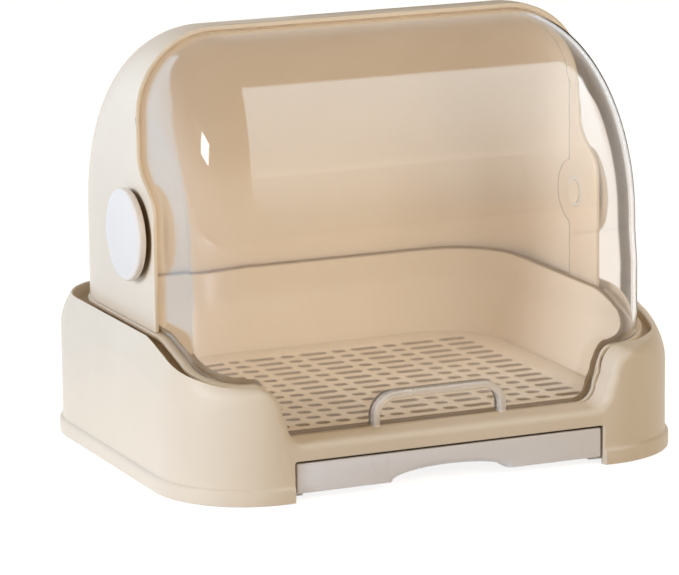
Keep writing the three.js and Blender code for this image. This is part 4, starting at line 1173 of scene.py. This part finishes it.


# In a finish, `deep` is the colour of painted shade
finishes = {
    "creamPlastic": {
        "low": (0.765, 0.640, 0.490), "high": (0.840, 0.725, 0.575), "edge": (0.900, 0.815, 0.700),
        "deep": (0.24, 0.15, 0.06), "tone": (7.0, 1.5), "edgeAmount": 0.15, "rough": (0.30, 0.42),
        "grain": (0.55, 0.012, 0.05), "plain": {"IOR": 1.48},
    },
    "grillePlastic": {
        "low": (0.790, 0.690, 0.560), "high": (0.860, 0.765, 0.640), "edge": (0.920, 0.850, 0.750),
        "deep": (0.42, 0.31, 0.20), "tone": (9.0, 1.5), "edgeAmount": 0.35, "rough": (0.38, 0.50),
        "grain": (0.5, 0.010, 0.03), "plain": {"IOR": 1.48},
    },
    "frostedPlastic": {
        "low": (0.790, 0.765, 0.785), "high": (0.860, 0.835, 0.855), "edge": (0.895, 0.875, 0.890),
        "tone": (8.0, 1.3), "edgeAmount": 0.30, "rough": (0.24, 0.36),
        "grain": (0.8, 0.006, 0.03), "plain": {"IOR": 1.49},
    },
    "whitePlastic": {
        "low": (0.790, 0.715, 0.640), "high": (0.840, 0.765, 0.685), "edge": (0.870, 0.805, 0.735),
        "tone": (14.0, 1.2), "edgeAmount": 0.4, "rough": (0.26, 0.36),
        "grain": (0.5, 0.006, 0.02), "plain": {"IOR": 1.48},
    },
    "naturalPlastic": {
        "low": (0.700, 0.685, 0.640), "high": (0.790, 0.775, 0.735), "edge": (0.840, 0.830, 0.800),
        "tone": (20.0, 1.5), "edgeAmount": 0.3, "rough": (0.38, 0.52),
        "grain": (0.5, 0.010, 0.03), "plain": {"IOR": 1.53},
    },
    "screwSteel": {
        "low": (0.460, 0.465, 0.475), "high": (0.620, 0.625, 0.635), "edge": (0.760, 0.760, 0.765),
        "tone": (160.0, 1.6), "edgeAmount": 0.7, "rough": (0.24, 0.40),
        "grain": (0.18, 0.006, 0.004), "plain": {"Metallic": 1.0},
    },
    "padRubber": {
        "low": (0.085, 0.085, 0.085), "high": (0.130, 0.128, 0.125), "edge": (0.200, 0.195, 0.190),
        "tone": (60.0, 1.6), "edgeAmount": 0.6, "rough": (0.74, 0.90), "grain": (0.35, 0.025, 0.01),
    },
}
materials = {name: makeFinish(name, finish) for name, finish in finishes.items()}


# Clear plastic: glass to the eye, and see-through for shadows and bounced light, so that the
# lamps reach what stands behind it. Where it is seen edge on it has painted shade, for the dark
# lines along its edges, and it is milky on the grip
clear = {
    "tint": ((0.975, 0.955, 0.930), (0.990, 0.975, 0.955)), "tone": (6.0, 1.6), "rough": (0.015, 0.055),
    "ior": 1.49, "transmission": 0.97, "through": (0.985, 0.975, 0.96), "grain": (9.0, 0.002, 0.012),
    "rim": (0.07, 0.045, 0.03), "rimSpan": (0.76, 0.94),
    "frost": (0.97, 0.955, 0.94), "frostRough": 0.24, "frostMilk": 0.35, "shown": (0.9, 0.88, 0.85, 0.35),
}


def makeClear(name):
    material, tree, shader = newMaterial(name)
    tone = useGroup(tree, "tone", *clear["tone"])
    frost = take(tree, "ShaderNodeAttribute", "Fac", attribute_name="frost")
    tint = mixColour(tree, frost, mixColour(tree, tone, *clear["tint"]), clear["frost"])
    facing = take(tree, "ShaderNodeLayerWeight", "Facing", {"Blend": 0.5})
    # Painted shade where the surface is seen edge on, left off the grip
    rim = calc(tree, "SUBTRACT", mapRange(tree, facing, *clear["rimSpan"]), frost, clamp=True)
    rough = mapRange(tree, tone, 0.0, 1.0, *clear["rough"])
    setInputs(tree, shader, {
        "Base Color": mixColour(tree, rim, tint, clear["rim"]),
        "Roughness": calc(tree, "MULTIPLY_ADD", frost, clear["frostRough"], rough),
        "Normal": useGroup(tree, "grain", *(v * mm for v in clear["grain"])), "IOR": clear["ior"],
        "Transmission Weight": calc(tree, "MULTIPLY_ADD", frost, -clear["frostMilk"], clear["transmission"]),
    })
    path = addNode(tree, "ShaderNodeLightPath").outputs
    bounced = calc(tree, "MAXIMUM", path["Is Shadow Ray"], path["Is Diffuse Ray"])
    through = take(tree, "ShaderNodeBsdfTransparent", "BSDF", {"Color": (*clear["through"], 1.0)})
    both = take(tree, "ShaderNodeMixShader", "Shader", {0: bounced, 1: shader.outputs["BSDF"], 2: through})
    setInputs(tree, tree.nodes["Material Output"], {"Surface": both})
    material.diffuse_color = clear["shown"]
    return material


materials["clearPlastic"] = makeClear("clearPlastic")
print("stage: materials", len(materials))


def paint(piece, finish):
    piece.data.materials.clear()
    piece.data.materials.append(materials[finish])
    return markEdges(piece)


for piece in (baseShell, innerBin, rearShell):
    paint(piece, "creamPlastic")
paint(clearVisor, "clearPlastic")
drainGrille = stageMade(markEdges(makeGrille(materials["grillePlastic"])))
dripDrawer = stageMade(paint(makeDrawer(), "frostedPlastic"))
knobLeft, knobRight = (paint(makeKnob(*at), "whitePlastic") for at in (("knobLeft", -1), ("knobRight", 1)))
pivotStubs = paint(makeStubs(), "creamPlastic")

boxScrews = []
for (name, z), (x, y, *_) in zip(screwHeights.items(), binSize["bosses"]):
    boxScrews.append(screws(name, [(side * x, end * y, z) for side, end in corners]))
fixings = markEdges(joinMeshes("baseFixings", boxScrews))
fixings.data.materials.append(materials["screwSteel"])
pivotPlaces = [aboutPivot(side * pivotScrewX, 0, 0) for side in (-1, 1)]
pivotScrews = markEdges(screws("pivot", pivotPlaces, (math.pi / 2, -math.pi / 2)))
footPads = markEdges(makePads())
print("stage: fixings and pads", len(fixings.data.polygons) + len(footPads.data.polygons))

for name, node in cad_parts.items():
    if name.startswith(("drawer_rail", "pivot_bush", "pivot_carrier")):
        for slot in node.material_slots:
            slot.material = materials["naturalPlastic"]


# Who rides on which body, which CAD nodes each piece stands for, and the finish it takes
def names(stem, *ends):
    return [f"{stem}_{end}" for end in ends]


fourCorners = ("front_left", "front_right", "back_left", "back_right")
riders = [
    (baseShell, "base", ["base_shell"], "cream_plastic"),
    (innerBin, "base", ["inner_bin"], "cream_plastic"),
    (fixings, "base", names("bin_screw", *fourCorners) + names("rail_screw", *fourCorners), "steel"),
    (footPads, "base", names("foot_pad", *fourCorners), "pad_rubber"),
    (drainGrille, "grille", ["drain_grille"], "grille_plastic"),
    (dripDrawer, "drawer", ["drip_drawer"], "frosted_plastic"),
    (rearShell, "cover", ["rear_shell"], "cream_plastic"),
    (clearVisor, "flap", ["visor"], "clear_plastic"),
    (pivotStubs, "flap", ["visor"], "cream_plastic"),
    (knobLeft, "flap", ["pivot_knob_left"], "white_plastic"),
    (knobRight, "flap", ["pivot_knob_right"], "white_plastic"),
    (pivotScrews, "flap", names("pivot_screw", "left", "right"), "steel"),
]
for piece, body, replaced, slot in riders:
    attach(piece, body)
    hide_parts(*replaced)
print("stage: pieces ride", len(riders))


# Floor: pale, white to the eye where nothing shades it, and a little greyer through clear plastic
ground = {
    "half": 3000.0, "drop": 0.1, "rough": 0.9, "colour": (0.80, 0.79, 0.78),
    "clearColour": (0.50, 0.44, 0.41), "glow": 0.80, "clearShare": 0.10,
}
white = (1.0, 1.0, 1.0, 1.0)


# 1 for rays that the camera or a mirror sends, and a share for those that go through clear plastic
def throughView(tree, clearShare=1.0):
    path = addNode(tree, "ShaderNodeLightPath").outputs
    first = calc(tree, "MAXIMUM", path["Is Camera Ray"], path["Is Glossy Ray"])
    return calc(tree, "MAXIMUM", first, calc(tree, "MULTIPLY", path["Is Transmission Ray"], clearShare))


def makeFloor():
    half, z = ground["half"], -ground["drop"]
    points = [(-half, -half, z), (half, -half, z), (half, half, z), (-half, half, z)]
    floor = makePiece("floor", points, [(0, 1, 2, 3)])
    material, tree, shader = newMaterial("floorPaint")
    clearRay = take(tree, "ShaderNodeLightPath", "Is Transmission Ray")
    setInputs(tree, shader, {
        "Base Color": mixColour(tree, clearRay, ground["colour"], ground["clearColour"]),
        "Roughness": ground["rough"], "Specular IOR Level": 0.0,
    })
    level = calc(tree, "MULTIPLY", throughView(tree, ground["clearShare"]), ground["glow"])
    glow = take(tree, "ShaderNodeEmission", "Emission", {"Color": white, "Strength": level})
    both = take(tree, "ShaderNodeAddShader", "Shader", {0: shader.outputs["BSDF"], 1: glow})
    setInputs(tree, tree.nodes["Material Output"], {"Surface": both})
    floor.data.materials.append(material)
    return floor


makeFloor()


# The room: warm for bounced light, white to the eye and fading towards the ceiling
room = {"colour": (1.0, 0.85, 0.66), "strength": 0.33, "ceiling": 0.25, "span": (0.15, 0.65)}


def makeRoom():
    world = bpy.data.worlds.new("room")
    scene.world = world
    world.use_nodes = True
    sky = world.node_tree
    warm = setInputs(sky, sky.nodes["Background"], {
        "Color": (*room["colour"], 1.0), "Strength": room["strength"],
    })
    way = take(sky, "ShaderNodeTexCoord", "Generated")
    height = take(sky, "ShaderNodeSeparateXYZ", "Z", {"Vector": way})
    level = mapRange(sky, height, *room["span"], 1.0, room["ceiling"])
    seen = take(sky, "ShaderNodeBackground", "Background", {"Color": white, "Strength": level})
    both = take(sky, "ShaderNodeMixShader", "Shader", {
        0: throughView(sky), 1: warm.outputs["Background"], 2: seen,
    })
    setInputs(sky, sky.nodes["World Output"], {"Surface": both})


# Lamps: a cool window at the left, a warm soft box in front, a weak light in the cover, and a small
# one that only mirrors show
lamps = {
    "windowLight": {"place": (-1850, -330, 600), "aim": (0, -20, 120), "size": (620, 620), "power": 28.5,
                    "colour": (0.68, 0.80, 1.0), "mirrored": False},
    "frontFill": {"place": (520, -1750, 1300), "aim": (0, 0, 110), "size": (1500, 1100), "power": 10.3,
                  "colour": (1.0, 0.85, 0.61), "mirrored": False},
    "inside": {"place": (0, -80, 138), "aim": (0, 110, 200), "size": (220, 90), "power": 0.103,
               "colour": (1.0, 0.96, 0.91), "mirrored": False},
    "glint": {"place": (-1700, -300, 1330), "aim": (0, -20, 120), "size": (440, 440), "power": 8.0,
              "colour": (0.85, 0.93, 1.0), "mirrored": True},
}


def makeLamp(name, lamp):
    data = bpy.data.lights.new(name, "AREA")
    data.shape = "RECTANGLE"
    data.size, data.size_y = (s * mm for s in lamp["size"])
    data.energy = lamp["power"]
    data.color = lamp["colour"]
    thing = bpy.data.objects.new(name, data)
    place, aim = (Vector(lamp[key]) * mm for key in ("place", "aim"))
    thing.location = place
    thing.rotation_euler = (aim - place).to_track_quat("-Z", "Y").to_euler()
    thing.visible_camera = False
    thing.visible_glossy = thing.visible_transmission = lamp["mirrored"]
    thing.visible_diffuse = not lamp["mirrored"]
    scene.collection.objects.link(thing)


# The camera, solved from the photographed outline; clip distances are in metres
view = {
    "eye": (-1005.338, -2276.133, 623.581), "right": (0.915536, -0.402057, -0.011964),
    "up": (0.095222, 0.187743, 0.977592), "lens": 232.29294, "sensor": 36.0, "clip": (0.05, 60.0),
}
right, up = Vector(view["right"]), Vector(view["up"])
eye, ahead = Vector(view["eye"]), up.cross(right)


# Three things only mirrored and clear-plastic rays meet: a bowed panel high in front, a card at the
# left, and a dark band close behind the cover's outline, for the thin dark line of its clear edge.
# `low` and `high` are the strengths of a glow at the two heights of `span`, in metres
panel = {
    "centre": (-85, 190), "radius": 1400.0, "left": (470.0, 408.0), "right": 1500.0, "turn": (2.0, 88.0),
    "steps": 24, "colour": (0.74, 0.89, 1.0), "low": 1.1, "high": 3.0, "span": (0.3, 1.4),
}
sideCard = {
    "from": (-170, 215), "to": (-520, 330), "z": (0.0, 420.0), "colour": (0.60, 0.81, 1.0),
    "low": 1.1, "high": 2.0, "span": (0.06, 0.24),
}
band = {
    "behind": 150.0, "turn": (-0.7, 22.0), "steps": 8, "colour": (0.06, 0.04, 0.028), "lowest": -60.0,
    "leftmost": -60.0,
}


def onlyMirrored(thing, material):
    thing.data.materials.append(material)
    thing.visible_camera = thing.visible_diffuse = thing.visible_shadow = False


def glowing(name, glow):
    material, tree, _ = newMaterial(name)
    place = take(tree, "ShaderNodeTexCoord", "Object")
    height = take(tree, "ShaderNodeSeparateXYZ", "Z", {"Vector": place})
    level = mapRange(tree, height, *glow["span"], glow["low"], glow["high"])
    light = take(tree, "ShaderNodeEmission", "Emission", {"Color": (*glow["colour"], 1.0), "Strength": level})
    setInputs(tree, tree.nodes["Material Output"], {"Surface": light})
    return material


def makePanel():
    centreY, centreZ = panel["centre"]
    grid = []
    for turn in between(*panel["turn"], panel["steps"]):
        y = centreY - panel["radius"] * math.cos(math.radians(turn))
        z = centreZ + panel["radius"] * math.sin(math.radians(turn))
        left = mix(*panel["left"], turn / panel["turn"][1])
        grid.append([(x, y, z) for x in (left, panel["right"])])
    onlyMirrored(gridPiece("lightPanel", grid), glowing("panelGlow", panel))


def makeSideCard():
    grid = [[(*sideCard[key], z) for key in ("from", "to")] for z in sideCard["z"]]
    onlyMirrored(gridPiece("sideCard", grid), glowing("cardGlow", sideCard))


# Outline of the cover as the camera sees it: the convex hull of its points on the picture plane
def seenOutline(pieces, depth):
    spots = set()
    for piece in pieces:
        for vertex in piece.data.vertices:
            ray = vertex.co / mm - eye
            share = depth / ray.dot(ahead)
            spots.add((round(ray.dot(right) * share, 2), round(ray.dot(up) * share, 2)))
    hull = []
    for order in (sorted(spots), sorted(spots, reverse=True)):
        chain = []
        for spot in order:
            while len(chain) > 1:
                (ax, ay), (bx, by) = chain[-2:]
                if (bx - ax) * (spot[1] - ay) - (by - ay) * (spot[0] - ax) > 0:
                    break
                chain.pop()
            chain.append(spot)
        hull += chain[:-1]
    return hull


def makeBand():
    depth = -eye.dot(ahead)
    hull = seenOutline([clearVisor, rearShell], depth)
    angles = [math.radians(a) for a in between(*band["turn"], band["steps"])]
    grid = []
    for before, spot, after in zip(hull[-1:] + hull[:-1], hull, hull[1:] + hull[:1]):
        if spot[1] < band["lowest"] or spot[0] < band["leftmost"]:
            continue
        away = (right * (after[1] - before[1]) - up * (after[0] - before[0])).normalized()
        start = eye + ahead * depth + right * spot[0] + up * spot[1]
        line = (start - eye).normalized()
        ways = [line * math.cos(a) + away * math.sin(a) for a in angles]
        grid.append([tuple(start + way * band["behind"]) for way in ways])
    material, tree, shader = newMaterial("bandDark")
    setInputs(tree, shader, {"Base Color": (*band["colour"], 1.0), "Roughness": 1.0})
    onlyMirrored(gridPiece("darkBand", grid), material)


def makeCamera():
    data = bpy.data.cameras.new("camera")
    data.lens, data.sensor_width, data.sensor_fit = view["lens"], view["sensor"], "HORIZONTAL"
    data.clip_start, data.clip_end = view["clip"]
    camera = bpy.data.objects.new("camera", data)
    turn = Matrix((right, up, right.cross(up))).transposed().to_4x4()
    camera.matrix_world = Matrix.Translation(eye * mm) @ turn
    scene.collection.objects.link(camera)
    scene.camera = camera


makeRoom()
makePanel()
makeSideCard()
makeBand()
for name, lamp in lamps.items():
    makeLamp(name, lamp)
makeCamera()
print("stage: room, lamps and camera", len(lamps))

scene.view_settings.view_transform = "Standard"
